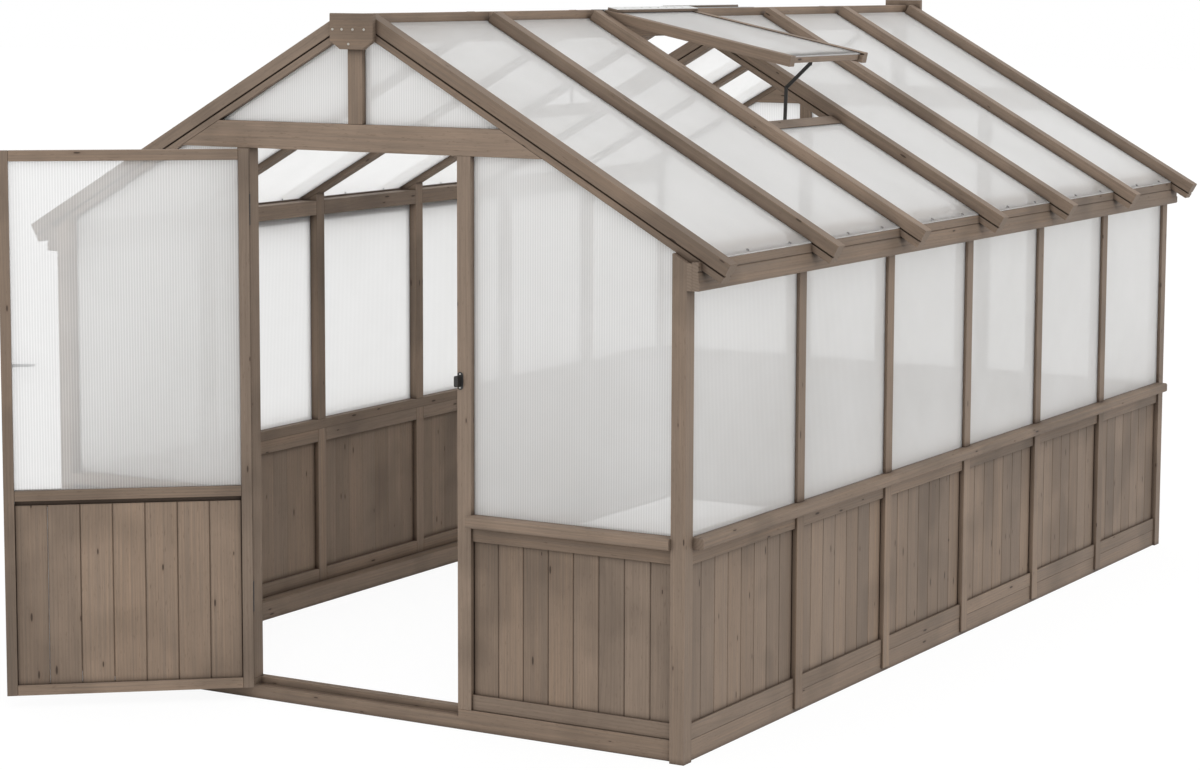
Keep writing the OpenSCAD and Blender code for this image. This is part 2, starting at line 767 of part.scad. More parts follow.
// local X from the hinge pin down the lid, local Z square to it
module on_lid(fall) {
  translate([lid_pin_x, 0, lid_pin_z]) rotate([0, fall, 0]) children();
}
module lid_frame(bay) {
  low = roof_low(bay) + lid_play;
  high = roof_high(bay) - lid_play;
  w = lid_rail_width;
  on_lid(lid_fall) {
    difference() {
      union() {
        for (y = [low, high - w]) block(lid_start, lid_length, y, y + w, lid_low, lid_top);
        block(lid_start, lid_start + w, low + w + touch, high - w - touch, lid_low, lid_top);
      }
      block(lid_start + w - groove_depth, lid_length + over, low + w - groove_depth,
        high - w + groove_depth, lid_sheet_low - groove_play, lid_sheet_top + groove_play);
    }
    block(lid_front_start, lid_front_end, low + w + touch, high - w - touch,
      lid_sheet_low - lid_front_depth, lid_sheet_low);
    difference() {
      block(batten_start, batten_start + batten_width, bay_middle(bay) - strip_length / 2,
        bay_middle(bay) + strip_length / 2, lid_top + touch, lid_top + batten_height);
      strip_bores(bay);
    }
  }
}
module lid_sheet(bay) {
  edge = lid_play + lid_rail_width - seat;
  on_lid(lid_fall) block(lid_start + lid_rail_width - seat, lid_front_end,
    roof_low(bay) + edge, roof_high(bay) - edge, lid_sheet_low, lid_sheet_top);
}
module strip_bores(bay) {
  for (i = [0 : strip_holes - 1]) translate([batten_start + batten_width / 2,
    bay_middle(bay) + (i - (strip_holes - 1) / 2) * strip_pitch, lid_top - over])
      cylinder(h = batten_height + strip_thickness + 2 * over, r = strip_hole_radius);
}
module vent_strip(bay) {
  on_lid(lid_fall) difference() {
    block(batten_start, batten_start + batten_width, bay_middle(bay) - strip_length / 2,
      bay_middle(bay) + strip_length / 2, lid_top + batten_height,
      lid_top + batten_height + strip_thickness);
    strip_bores(bay);
  }
}
module lid_bracket(bay) {
  y = stay_y(bay);
  low = lid_sheet_low - lid_front_depth;
  start = lid_pivot_s - cheek_edge;
  on_lid(lid_fall) difference() {
    union() {
      block(start, lid_front_start + bracket_lap, y - bracket_width / 2,
        y + bracket_width / 2, low - bracket_thickness, low);
      block(start, lid_pivot_s + lid_cheek_edge, y + cheek_gap,
        y + cheek_gap + bracket_thickness, lid_pivot_n - cheek_edge,
        low - bracket_thickness / 2);
    }
    translate([lid_pivot_s, y - bore_length / 2, lid_pivot_n]) rotate([-90, 0, 0])
      cylinder(h = bore_length, r = rivet_radius + bore_play);
  }
}
function lid_pivot_at(fall) = [lid_pin_x + lid_pivot_s * cos(fall) + lid_pivot_n * sin(fall),
  lid_pin_z - lid_pivot_s * sin(fall) + lid_pivot_n * cos(fall)];
lid_pivot = lid_pivot_at(lid_fall);
base_pivot = [base_pivot_s * cos(slope) + base_pivot_n * sin(slope),
  apex_height - base_pivot_s * sin(slope) + base_pivot_n * cos(slope)];
widest_gap = norm(lid_pivot_at(slope - vent_travel) - base_pivot);
link_length = norm([widest_gap / 2, elbow_stand]);
pivot_gap = norm(lid_pivot - base_pivot);
pivot_angle = atan2(lid_pivot[1] - base_pivot[1], lid_pivot[0] - base_pivot[0]);
bend = acos(pivot_gap / 2 / link_length);
elbow = base_pivot + polar(link_length, pivot_angle + bend);
// a flat link between two points in the XZ plane, occupying y0 to y1
module link(a, b, y0, y1) {
  d = b - a;
  translate([a[0], 0, a[1]]) rotate([0, -atan2(d[1], d[0]), 0]) {
    block(0, norm(d), y0, y1, -link_width / 2, link_width / 2);
    for (x = [0, norm(d)]) translate([x, y0, 0]) rotate([-90, 0, 0])
      cylinder(h = y1 - y0, r = link_width / 2);
  }
}
module pin_at(p, y0, y1, r) {
  translate([p[0], y0, p[1]]) rotate([-90, 0, 0]) cylinder(h = y1 - y0, r = r);
}
module base_bracket(bay) {
  y = stay_y(bay);
  on_slope() difference() {
    union() {
      block(trimmer_start - bracket_thickness, trimmer_start, y - bracket_width,
        y + bracket_width, base_pivot_n - cheek_edge, -trimmer_drop - base_plate_drop);
      block(base_pivot_s - cheek_edge, trimmer_start, y - cheek_gap - bracket_thickness,
        y - cheek_gap, base_pivot_n - cheek_edge, base_pivot_n + cheek_edge);
    }
    translate([base_pivot_s, y - bore_length / 2, base_pivot_n]) rotate([-90, 0, 0])
      cylinder(h = bore_length, r = rivet_radius + bore_play);
  }
}
module stay_base_brackets() {
  color("#3a3a3a") {
    base_bracket(right_vent_bay);
    mirror([1, 0, 0]) base_bracket(left_vent_bay);
  }
}
module lower_link(bay) {
  translate([0, stay_y(bay), 0]) {
    link(base_pivot, elbow, -rivet_play - link_thickness, -rivet_play);
    pin_at(base_pivot, -cheek_gap - bracket_thickness - rivet_end, -rivet_play - hair,
      rivet_radius);
    pin_at(elbow, -rivet_play - link_thickness - rivet_head_height, -rivet_play - hair,
      rivet_head);
  }
}
module upper_link(bay) {
  translate([0, stay_y(bay), 0]) {
    link(lid_pivot, elbow, rivet_play, rivet_play + link_thickness);
    pin_at(lid_pivot, rivet_play + hair, cheek_gap + bracket_thickness + rivet_end,
      rivet_radius);
    pin_at(elbow, rivet_play + hair, rivet_play + link_thickness + rivet_head_height,
      rivet_head);
  }
}

module at_pin() {
  translate([door_edge - doorway_edge(-1), -half_timber - leaf_lift, 0]) children();
}
module on_door() {
  at_pin() rotate([0, 0, -door_open]) children();
}
module door_frame() {
  x0 = door_edge;
  x1 = door_edge + door_width;
  y0 = door_outer;
  y1 = door_inner;
  ym = (y0 + y1) / 2;
  mid = mid_rail_top - stile_width;
  color("#7c6b5c") on_door() {
    for (x = [x0, x1 - stile_width]) difference() {
      block(x, x + stile_width, y0, y1, door_bottom, door_top);
      block(x0 + stile_width - groove_depth, x1 - stile_width + groove_depth,
        ym - half_board_groove, ym + half_board_groove,
        door_bottom + stile_width - groove_depth, mid - door_slot);
      block(x0 + stile_width - groove_depth, x1 - stile_width + groove_depth,
        ym - half_groove, ym + half_groove, mid_rail_top - groove_depth,
        door_top - stile_width + groove_depth);
      if (x > x0) translate([x1 - stile_width / 2, y0 - over, lever_height])
        rotate([-90, 0, 0]) cylinder(h = over + spindle_depth + spindle_play,
          r = spindle_radius + spindle_play);
    }
    difference() {
      union() {
        for (z = [door_bottom, mid, door_top - stile_width])
          block(x0 + stile_width + touch, x1 - stile_width - touch, y0, y1,
            z, z + stile_width);
        block(x0 + stile_width + touch, x1 - stile_width - touch, y0,
          ym - half_board_groove, mid - door_slot - seat, mid + hair);
      }
      block(x0, x1, ym - half_board_groove, ym + half_board_groove,
        door_bottom + stile_width - groove_depth, mid - door_slot);
      block(x0, x1, ym - half_groove, ym + half_groove, mid_rail_top - groove_depth,
        door_top - stile_width + groove_depth);
    }
  }
}
module door_boards() {
  width = (door_width - 2 * stile_width) / door_board_count;
  color("#74645a") on_door() translate([0, (door_outer + door_inner) / 2, 0])
    for (i = [0 : door_board_count - 1])
      translate([door_edge + stile_width + (i + 1) * width, 0, 0]) rotate([0, 0, 180])
        board(width, door_bottom + stile_width - seat,
          mid_rail_top - stile_width - door_slot - touch);
}
module door_pane() {
  ym = (door_outer + door_inner) / 2;
  color("#dfe5e6", 0.5) on_door() block(door_edge + stile_width - seat,
    door_edge + door_width - stile_width + seat, ym - half_sheet, ym + half_sheet,
    mid_rail_top - seat, door_top - stile_width + seat);
}
module door_lever() {
  color("#8b8d90") on_door() {
    translate([door_edge + door_width - stile_width / 2, 0, lever_height]) {
      translate([0, door_outer - lever_stand, 0]) rotate([-90, 0, 0])
        cylinder(h = lever_stand + spindle_depth, r = spindle_radius);
      translate([0, door_outer - rose_thickness - rose_play, 0]) rotate([-90, 0, 0])
        cylinder(h = rose_thickness, r = rose_radius);
      translate([0, door_outer - lever_stand + lever_sink, 0]) rotate([90, 0, 0]) {
        linear_extrude(lever_depth) polygon([[0, -lever_root / 2], [0, lever_root / 2],
          [lever_nose - lever_length, lever_tip / 2],
          [-lever_length, (lever_tip - lever_nose) / 2],
          [-lever_length, (lever_nose - lever_tip) / 2],
          [lever_nose - lever_length, -lever_tip / 2]]);
        cylinder(h = lever_depth, r = (lever_root + lever_nose) / 2);
      }
    }
  }
}
module knuckle(z0, z1) {
  translate([0, 0, z0]) cylinder(h = z1 - z0, r = pin_radius);
}
// one leaf from the pin out to the right, with knuckles on the thirds given by their places
module leaf(z, thirds) {
  third = leaf_height / 3;
  block(leaf_lift, leaf_width, leaf_lift - leaf_thickness, leaf_lift, z - leaf_height / 2,
    z + leaf_height / 2);
  for (s = thirds) {
    low = z + (s - 0.5) * third + knuckle_gap / 2;
    high = z + (s + 0.5) * third - knuckle_gap / 2;
    knuckle(low, high);
    block(0, leaf_lift + hair, leaf_lift - leaf_thickness, leaf_lift, low, high);
  }
}
module hinge_leaves_door() {
  color("#33302e") on_door() for (z = [hinge_low, hinge_high]) leaf(z, [0]);
}
module hinge_leaves_jamb() {
  color("#33302e") at_pin() mirror([1, 0, 0]) for (z = [hinge_low, hinge_high])
    leaf(z, [-1, 1]);
}
module keeper_outline(play) {
  r = keeper_width / 2 + play;
  straight = keeper_height - keeper_width;
  translate([keeper_width / 2, 0]) {
    square([2 * r, straight], center = true);
    for (s = [-1, 1]) translate([0, s * straight / 2]) circle(r);
  }
}
module catch_outline() {
  reach = catch_height / 2 - catch_corner;
  for (x = [catch_corner, catch_width - catch_corner]) for (s = [-1, 1])
    translate([x, s * reach]) circle(catch_corner);
  translate([0, -reach]) square([catch_width, 2 * reach]);
  translate([catch_corner, -catch_height / 2])
    square([catch_width - 2 * catch_corner, catch_height]);
}
module at_keeper() {
  translate([doorway_edge(1), -half_timber, keeper_z]) rotate([90, 0, 0]) children();
}
module latch_keeper() {
  color("#2f2d2c") at_keeper() {
    translate([0, 0, -keeper_thickness]) linear_extrude(keeper_thickness) keeper_outline(0);
    translate([catch_start, 0, -hair]) linear_extrude(catch_depth + hair) catch_outline();
  }
}

corner_posts(-1);  // corner_posts_left
corner_posts(1);  // corner_posts_right
base_sills_long();
base_sills_short();
wall_studs(-1);  // wall_studs_left
wall_studs(1);  // wall_studs_right
wall_rails(-1);  // wall_rails_left
wall_rails(1);  // wall_rails_right
wall_boards(-1);  // wall_boards_left
wall_boards(1);  // wall_boards_right
sill_cap(-1);  // sill_cap_left
sill_cap(1);  // sill_cap_right
header_rails(-1);  // header_rails_left
header_rails(1);  // header_rails_right
eave_boards(-1);  // eave_boards_left
eave_boards(1);  // eave_boards_right
wall_panes(-1);  // wall_panes_left
wall_panes(1);  // wall_panes_right
front_jambs();
front_rails();
front_boards(-1);  // front_boards_left
front_boards(1);  // front_boards_right
front_caps();
front_panes();
back_studs();
back_rails();
back_boards();
back_caps();
back_panes();
gable_frames();
ridge_beam();
ridge_plates();
plate_screws();
rafters(-1);  // rafters_left
rafters(1);  // rafters_right
roof_sheets(-1, left_vent_bay);  // roof_sheets_left
roof_sheets(1, right_vent_bay);  // roof_sheets_right
sheet_screws();
vent_trimmers();
vent_hinges();
stay_base_brackets();
latch_keeper();
hinge_leaves_jamb();
hinge_leaves_door();
door_frame();
door_boards();
door_pane();
door_lever();
color("#786859") mirror([1, 0, 0]) lid_frame(left_vent_bay);  // vent_frame_left
color("#786859") lid_frame(right_vent_bay);  // vent_frame_right
color("#dfe5e6", 0.5) mirror([1, 0, 0]) lid_sheet(left_vent_bay);  // vent_sheet_left
color("#dfe5e6", 0.5) lid_sheet(right_vent_bay);  // vent_sheet_right
color("#c9cac8") mirror([1, 0, 0]) vent_strip(left_vent_bay);  // vent_strip_left
color("#c9cac8") vent_strip(right_vent_bay);  // vent_strip_right
color("#9a9b9c") mirror([1, 0, 0]) lid_bracket(left_vent_bay);  // vent_bracket_left
color("#9a9b9c") lid_bracket(right_vent_bay);  // vent_bracket_right
color("#2b2b2b") mirror([1, 0, 0]) lower_link(left_vent_bay);  // stay_lower_link_left
color("#2b2b2b") lower_link(right_vent_bay);  // stay_lower_link_right
color("#2b2b2b") mirror([1, 0, 0]) upper_link(left_vent_bay);  // stay_upper_link_left
color("#2b2b2b") upper_link(right_vent_bay);  // stay_upper_link_right
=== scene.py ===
"""Looks for a wooden greenhouse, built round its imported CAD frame.

Laid out as an add-on: settings in property groups, one operator for each group of pieces and one
for the stage, and a panel that lists them. Run as a script, it calls them all in order.
"""

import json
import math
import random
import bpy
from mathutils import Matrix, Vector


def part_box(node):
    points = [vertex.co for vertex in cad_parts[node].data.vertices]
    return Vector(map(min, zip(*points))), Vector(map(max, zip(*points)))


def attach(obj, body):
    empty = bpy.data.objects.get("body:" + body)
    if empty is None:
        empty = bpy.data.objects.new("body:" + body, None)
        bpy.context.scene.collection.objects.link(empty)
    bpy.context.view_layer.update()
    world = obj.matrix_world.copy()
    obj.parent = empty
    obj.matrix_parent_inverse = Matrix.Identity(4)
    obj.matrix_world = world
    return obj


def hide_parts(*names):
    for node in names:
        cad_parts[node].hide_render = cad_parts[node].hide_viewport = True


bl_info = {
    "name": "Wooden greenhouse",
    "version": (1, 0, 0),
    "blender": (4, 5, 0),
    "location": "3D View > Sidebar > Greenhouse",
    "description": "Dresses the packed greenhouse with stained timber, sheets and fittings",
    "category": "Object",
}

import bmesh
import bpy
from bpy.props import FloatProperty, FloatVectorProperty, IntProperty, PointerProperty
from mathutils import Matrix, Vector

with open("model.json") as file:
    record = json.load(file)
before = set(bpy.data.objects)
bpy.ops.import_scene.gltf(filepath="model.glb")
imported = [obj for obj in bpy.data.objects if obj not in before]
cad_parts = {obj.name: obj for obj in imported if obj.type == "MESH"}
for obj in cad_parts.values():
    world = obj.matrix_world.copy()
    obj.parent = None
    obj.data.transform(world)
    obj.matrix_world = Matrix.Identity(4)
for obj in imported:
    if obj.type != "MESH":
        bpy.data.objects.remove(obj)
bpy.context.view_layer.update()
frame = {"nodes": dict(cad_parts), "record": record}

HOUSE = "house"
DOOR = "door"
MM = 0.001

# Timbers that are dressed from their CAD solids, by the body that carries them
TIMBERS = {
    HOUSE: [
        "corner_posts_left", "corner_posts_right", "base_sills_long", "base_sills_short",
        "wall_studs_left", "wall_studs_right", "wall_rails_left", "wall_rails_right",
        "sill_cap_left", "sill_cap_right", "header_rails_left", "header_rails_right",
        "eave_boards_left", "eave_boards_right", "front_jambs", "front_rails", "front_caps",
        "back_studs", "back_rails", "back_caps", "gable_frames", "ridge_beam", "ridge_plates",
        "rafters_left", "rafters_right", "vent_trimmers",
    ],
    DOOR: ["door_frame"],
    "vent_left": ["vent_frame_left"],
    "vent_right": ["vent_frame_right"],
}
BOARDS = {
    HOUSE: [
        "wall_boards_left", "wall_boards_right", "front_boards_left", "front_boards_right",
        "back_boards",
    ],
    DOOR: ["door_boards"],
}
WOOD_MATERIAL = "stained_wood"
WHITE = (1, 1, 1, 1)

# Parts of a noise's range: nearly all of it, most of it and its middle
NEARLY_ALL = (0.2, 0.8)
MOST = (0.3, 0.7)
MIDDLE = (0.35, 0.65)

# How fine the clouds in the stain, the haze in the sheets, and the clouds and scuffs on metal are,
# in patches to the metre
STAIN_CLOUDS = 3.2
SHEET_HAZE = 2.2
METAL_CLOUDS = 60.0
METAL_SCUFFS = 420.0

# Marks in the wood: the length along the grain and the width across it over which each changes
PITH_DRIFT = (0.9, 0.12)
RING_DRIFT = (0.22, 0.03)
STREAK = (0.5, 6 * MM)
FIBRE = (0.05, 1.1 * MM)
PORE = (26 * MM, 3.4 * MM)
BLOTCH = (0.3, 0.09)
KNOT_CELL = (0.17, 0.042)

# Bands of a pattern's values over which its mark fades in or out
LATE_BAND = (0.35, 1.0)
PORE_BAND = (0.63, 0.72)
KNOT_BAND = (0.7, 1.15)
HALO_BAND = (1.0, 3.0)
CLOUD_BAND = (0.36, 0.5)
FIBRE_BAND = (0.25, 0.75)
END_RING_BAND = (-0.4, 0.8)
# Band of ambient occlusion over which the painted shade in grooves and under edges fades out
PAINTED_SHADE_BAND = (0.35, 0.95)
SCUFF_BAND = (0.58, 0.72)

# Growth rings: their step, how far they waver, and how far the pith lies from the piece's middle
RING_STEP = 8.5 * MM
RING_WAVER = 6 * MM
PITH_ASIDE = (35 * MM, 110 * MM)
PITH_BEHIND = (18 * MM, 62 * MM)

# Knots: the share of cells that hold one, and its size as a share of the cell
KNOT_SHARE = 0.22
KNOT_SIZES = (0.03, 0.085)

# Each piece has a number from nought to one. It moves the piece by this much of the endless wood,
# and its tone goes this many times from dark to light while the number goes up to one
PIECE_STEP = (37.0, 11.3, 23.9)
TONE_TURNS = 7.31

# How light each pattern leaves the stain where it is darkest and lightest
BLOTCH_TONES = (0.92, 1.07)
CLOUD_TONES = (0.82, 1.04)
FIBRE_TONES = (0.9, 1.09)
# The colour of the warmest pieces, as shares of the stain's red, green and blue
WARMTH = (1.13, 1.06, 0.98)
# Light pieces stand out less from the middle tone than dark ones
LIGHT_SHARE = 1 / 2.6
DARK_SHARE = 1 / 2

# How strongly each mark covers the stain
LATE_RINGS = 0.26
PORES = 0.42
HALOES = 0.25
KNOTS = 0.9
CUT_ENDS = 0.7

# Twin-wall sheets: the band of a step that a web fills, how much more a web and the haze hide,
# and the share of a skin's light that shines through from behind it
WEB_BAND = (0.3, 0.46)
WEB_COVER = 0.14
HAZE_COVER = 0.03
GLOW = 0.8
# The values of Layer Weight between which the webs close the view
SQUARE_VIEW = 0.01
SLANT_VIEW = 0.13

# Corners of a CAD solid nearer than this are one
WELD = 0.01 * MM
# Neighbouring faces that turn less than this are one flat face
FLAT = math.radians(0.6)
# Edges that turn more than this are eased
EASED = math.radians(35)
# Edges that turn less than this are shaded as if they were round
ROUNDED = math.radians(30)
# Two directions are square when the cosine between them is less than this
SQUARE = 0.02
# Decimals of a centre, in metres, that tell one solid from the next
CENTRE_DIGITS = 4
# Points that differ by less than this lie level
LEVEL = 0.01 * MM
# A face is end grain when the cosine between its normal and the grain is more than this
END_FACE = 0.75

# Screw heads, as shares of their radius and height
HEAD_TOP = 0.72
HEAD_SIDES = 20
RECESS_LENGTH = 1.05
RECESS_WIDTH = 0.26
RECESS_RISE = 1.1
# How much larger the heads of the roof sheet screws are than those of the plate screws
SHEET_HEAD_EXTRA = 1 * MM
# The most that a head's recess is turned, in radians
HEAD_TURN = 3.0
# Seeds of what is random in the node trees
HEAD_SEED = 3
BOARD_SEED_STEP = 7


# Settings


class TimberSettings(bpy.types.PropertyGroup):
    """Colour and finish of the stained wood."""

    stain: FloatVectorProperty(
        name="Stain", description="Middle colour of the stained wood", subtype="COLOR",
        size=3, min=0, max=1, default=(0.236, 0.1775, 0.134),
    )
    dark: FloatVectorProperty(
        name="Dark grain", description="Colour of knots and dark streaks", subtype="COLOR",
        size=3, min=0, max=1, default=(0.085, 0.055, 0.038),
    )
    contrast: FloatProperty(
        name="Board contrast", description="How much one board differs from the next",
        default=0.3, min=0, max=1, subtype="FACTOR",
    )
    edge: FloatProperty(
        name="Eased edge", description="Width of the eased edges of the timbers",
        default=1.2 * MM, min=0, max=4 * MM, unit="LENGTH",
    )
    seed: IntProperty(
        name="Seed", description="Picks the grain of each piece", default=11, min=0,
    )


class SheetSettings(bpy.types.PropertyGroup):
    """Look of the twin-wall sheets."""

    tint: FloatVectorProperty(
        name="Tint", description="Colour of the sheets", subtype="COLOR",
        size=3, min=0, max=1, default=(0.97, 0.97, 0.965),
    )
    cover: FloatProperty(
        name="Cover", description="How much one skin hides when looked at squarely",
        default=0.34, min=0, max=1, subtype="FACTOR",
    )
    slant_cover: FloatProperty(
        name="Slant cover", description="How much one skin hides when the webs stand in the way",
        default=0.63, min=0, max=1, subtype="FACTOR",
    )
    rib_pitch: FloatProperty(
        name="Rib pitch", description="Distance between the webs inside a sheet",
        default=8 * MM, min=3 * MM, max=20 * MM, unit="LENGTH",
    )


class FixingSettings(bpy.types.PropertyGroup):
    """Sizes of the screw heads."""

    head_radius: FloatProperty(
        name="Head radius", description="Radius of the plate screws' heads",
        default=4 * MM, min=2 * MM, max=8 * MM, unit="LENGTH",
    )
    small_head: FloatProperty(
        name="Small head radius", description="Radius of the keeper screws' heads",
        default=2.6 * MM, min=1 * MM, max=5 * MM, unit="LENGTH",
    )
    head_height: FloatProperty(
        name="Head height", description="Height of the plate screws' heads",
        default=2 * MM, min=0.5 * MM, max=4 * MM, unit="LENGTH",
    )
    sheet_head_height: FloatProperty(
        name="Sheet screws' head height", description="Height of the roof sheet screws' heads",
        default=1.6 * MM, min=0.5 * MM, max=4 * MM, unit="LENGTH",
    )
    small_head_height: FloatProperty(
        name="Small head height", description="Height of the keeper screws' heads",
        default=0.8 * MM, min=0.2 * MM, max=2 * MM, unit="LENGTH",
    )


class FittingSettings(bpy.types.PropertyGroup):
    """Colours of the metal parts."""

    black: FloatVectorProperty(
        name="Black paint", description="Colour of the stays, the hinges and the keeper",
        subtype="COLOR", size=3, min=0, max=1, default=(0.022, 0.021, 0.020),
    )
    grey: FloatVectorProperty(
        name="Grey paint", description="Colour of the lever and the lids' brackets",
        subtype="COLOR", size=3, min=0, max=1, default=(0.33, 0.34, 0.35),
    )
    strip: FloatVectorProperty(
        name="Strip", description="Colour of the perforated strips", subtype="COLOR",
        size=3, min=0, max=1, default=(0.72, 0.72, 0.71),
    )
    zinc: FloatVectorProperty(
        name="Zinc", description="Colour of the plate and keeper screws", subtype="COLOR",
        size=3, min=0, max=1, default=(0.62, 0.60, 0.55),
    )
    dull: FloatVectorProperty(
        name="Dull zinc", description="Colour of the roof sheet screws", subtype="COLOR",
        size=3, min=0, max=1, default=(0.20, 0.19, 0.18),
    )


class StageSettings(bpy.types.PropertyGroup):
    """Camera and light."""

    lens: FloatProperty(
        name="Lens", description="Focal length", default=89.64, min=20, max=300,
        subtype="DISTANCE_CAMERA",
    )
    eye: FloatVectorProperty(
        name="Eye", description="Where the camera stands", subtype="TRANSLATION", size=3,
        default=(4.94556, -7.08712, 2.15699),
    )
    yaw: FloatProperty(
        name="Yaw", description="Turn of the view to the left", default=0.52879,
        subtype="ANGLE",
    )
    pitch: FloatProperty(
        name="Pitch", description="Fall of the view", default=0.11625, subtype="ANGLE",
    )
    roll: FloatProperty(
        name="Roll", description="Tilt of the view", default=0.00343, subtype="ANGLE",
    )
    rise: FloatProperty(
        name="Vertical shift", description="Vertical lens shift, in picture widths",
        default=-0.05, min=-0.4, max=0.4,
    )
    sky: FloatProperty(
        name="Sky light", description="Strength of the even light", default=0.98, min=0, max=4,
    )
    key: FloatProperty(
        name="Key light", description="Strength of the soft sun", default=0.7, min=0, max=8,
    )


# Small helpers


def node_object(name):
    return frame["nodes"][name]


def joint_of(name):
    for joint in frame["record"]["behaviour"]["joints"]:
        if joint["name"] == name:
            return joint
    raise ValueError(f"no joint is named {name}")


def add_object(name, data):
    obj = bpy.data.objects.new(name, data)
    bpy.context.scene.collection.objects.link(obj)
    return obj


def discard(obj):
    """Removes an object and its mesh."""
    mesh = obj.data
    bpy.data.objects.remove(obj)
    bpy.data.meshes.remove(mesh)


def roof_slope():
    """The slope of the roof, read from the long edges of the first rafter."""
    rafters = solids("rafters_right")
    along = axes_of(rafters[0])[0]
    for rafter in rafters:
        rafter.free()
    return math.atan2(abs(along.z), abs(along.x))


class Tree:
    """A short way to write node trees: each call adds one node and returns it or its result."""

    def __init__(self, tree):
        self.tree = tree

    def add(self, kind, inputs=None, **settings):
        made = self.tree.nodes.new(kind)
        for key, value in settings.items():
            setattr(made, key, value)
        for key, value in (inputs or {}).items():
            socket = made.inputs[key]
            if isinstance(value, bpy.types.NodeSocket):
                self.tree.links.new(value, socket)
            else:
                socket.default_value = value
        return made

    def math(self, operation, a, b=0.0):
        return self.add("ShaderNodeMath", {0: a, 1: b}, operation=operation).outputs[0]

    def vector(self, operation, a, b):
        made = self.add("ShaderNodeVectorMath", {0: a, 1: b}, operation=operation)
        return made.outputs["Value"] if operation == "DOT_PRODUCT" else made.outputs[0]

    def point_vector(self, name):
        """A vector that a geometry tree's points carry."""
        return self.add("GeometryNodeInputNamedAttribute", {"Name": name},
                        data_type="FLOAT_VECTOR").outputs["Attribute"]

    def scaled(self, colour, factor):
        return self.add("ShaderNodeVectorMath", {0: colour, "Scale": factor},
                        operation="SCALE").outputs[0]

    def noise(self, coords, scale=1.0, detail=3.0, rough=0.5):
        return self.add("ShaderNodeTexNoise", {"Vector": coords, "Scale": scale,
                        "Detail": detail, "Roughness": rough}).outputs[0]

    def spread(self, value, low, high, to_low=0.0, to_high=1.0):
        return self.add("ShaderNodeMapRange", {"Value": value, "From Min": low,
                        "From Max": high, "To Min": to_low, "To Max": to_high},
                        clamp=True).outputs[0]

    def mix(self, factor, a, b):
        """A mix of two colours, whose sockets are the seventh and eighth of this node."""
        return self.add("ShaderNodeMix", {0: factor, 6: a, 7: b}, data_type="RGBA").outputs[2]


def seen_directly(t):
    """One where the eye, a reflection or a clear sheet shows a thing, nought for its light."""
    rays = t.add("ShaderNodeLightPath")
    mirrored = t.math("MAXIMUM", rays.outputs["Is Glossy Ray"], rays.outputs["Is Transmission Ray"])
    return t.math("MAXIMUM", rays.outputs["Is Camera Ray"], mirrored)


def shader_tree(name):
    material = bpy.data.materials.new(name)
    material.use_nodes = True
    material.node_tree.nodes.clear()
    return material, Tree(material.node_tree)


def rgba(colour, factor=1.0):
    return tuple(min(1.0, c * factor) for c in colour[:3]) + (1.0,)


# Materials


def wood_rings(t, grain, piece, along):
    """Growth rings round a pith that lies outside the piece and wanders slowly."""
    split = t.add("ShaderNodeSeparateXYZ", {0: grain})
    drift = t.noise(along(PITH_DRIFT), detail=2.0)
    across = t.math("ADD", split.outputs["Y"], t.spread(piece, 0.0, 1.0, *PITH_ASIDE))
    through = t.math("ADD", split.outputs["Z"], t.spread(drift, *NEARLY_ALL, *PITH_BEHIND))
    radius = t.math("SQRT", t.math("ADD", t.math("MULTIPLY", across, across),
                                   t.math("MULTIPLY", through, through)))
    waver = t.math("MULTIPLY", t.noise(along(RING_DRIFT)), RING_WAVER)
    turns = t.math("MULTIPLY", t.math("ADD", radius, waver), 2 * math.pi / RING_STEP)
    return t.math("SINE", turns)


def wood_knots(t, place):
    """Small knots drawn out along the grain, and the dark halo round each."""
    spots = t.add("ShaderNodeSeparateXYZ", {0: place})
    aside = t.math("ADD", spots.outputs["Y"], spots.outputs["Z"])
    flat = t.add("ShaderNodeCombineXYZ", {
        "X": t.math("DIVIDE", spots.outputs["X"], KNOT_CELL[0]),
        "Y": t.math("DIVIDE", aside, KNOT_CELL[1])})
    cells = t.add("ShaderNodeTexVoronoi", {"Vector": flat.outputs[0], "Scale": 1.0,
                                           "Randomness": 1.0}, voronoi_dimensions="2D")
    chance = t.add("ShaderNodeSeparateColor", {0: cells.outputs["Color"]}).outputs[0]
    picked = t.math("GREATER_THAN", chance, 1 - KNOT_SHARE)
    size = t.spread(chance, 1 - KNOT_SHARE, 1.0, *KNOT_SIZES)
    close = t.math("DIVIDE", cells.outputs["Distance"], size)
    knot = t.math("MULTIPLY", picked, t.spread(close, *KNOT_BAND, 1.0, 0.0))
    halo = t.math("MULTIPLY", picked, t.spread(close, *HALO_BAND, 1.0, 0.0))
    return knot, halo


def wood_level(t, contrast, piece, blotch, fibre):
    """How light the stain is: by the piece, and in blotches, clouds and fibres."""
    place = t.add("ShaderNodeTexCoord").outputs["Object"]
    cloud = t.noise(place, scale=STAIN_CLOUDS, detail=2.0)
    tone = t.math("FRACT", t.math("MULTIPLY", piece, TONE_TURNS))
    darkest = 1.0 - contrast * DARK_SHARE
    lightest = 1.0 + contrast * LIGHT_SHARE
    level = t.spread(tone, 0.0, 1.0, darkest, lightest)
    level = t.math("MULTIPLY", level, t.spread(blotch, *MOST, *BLOTCH_TONES))
    level = t.math("MULTIPLY", level, t.spread(cloud, *CLOUD_BAND, *CLOUD_TONES))
    return t.math("MULTIPLY", level, t.spread(fibre, *FIBRE_BAND, *FIBRE_TONES))


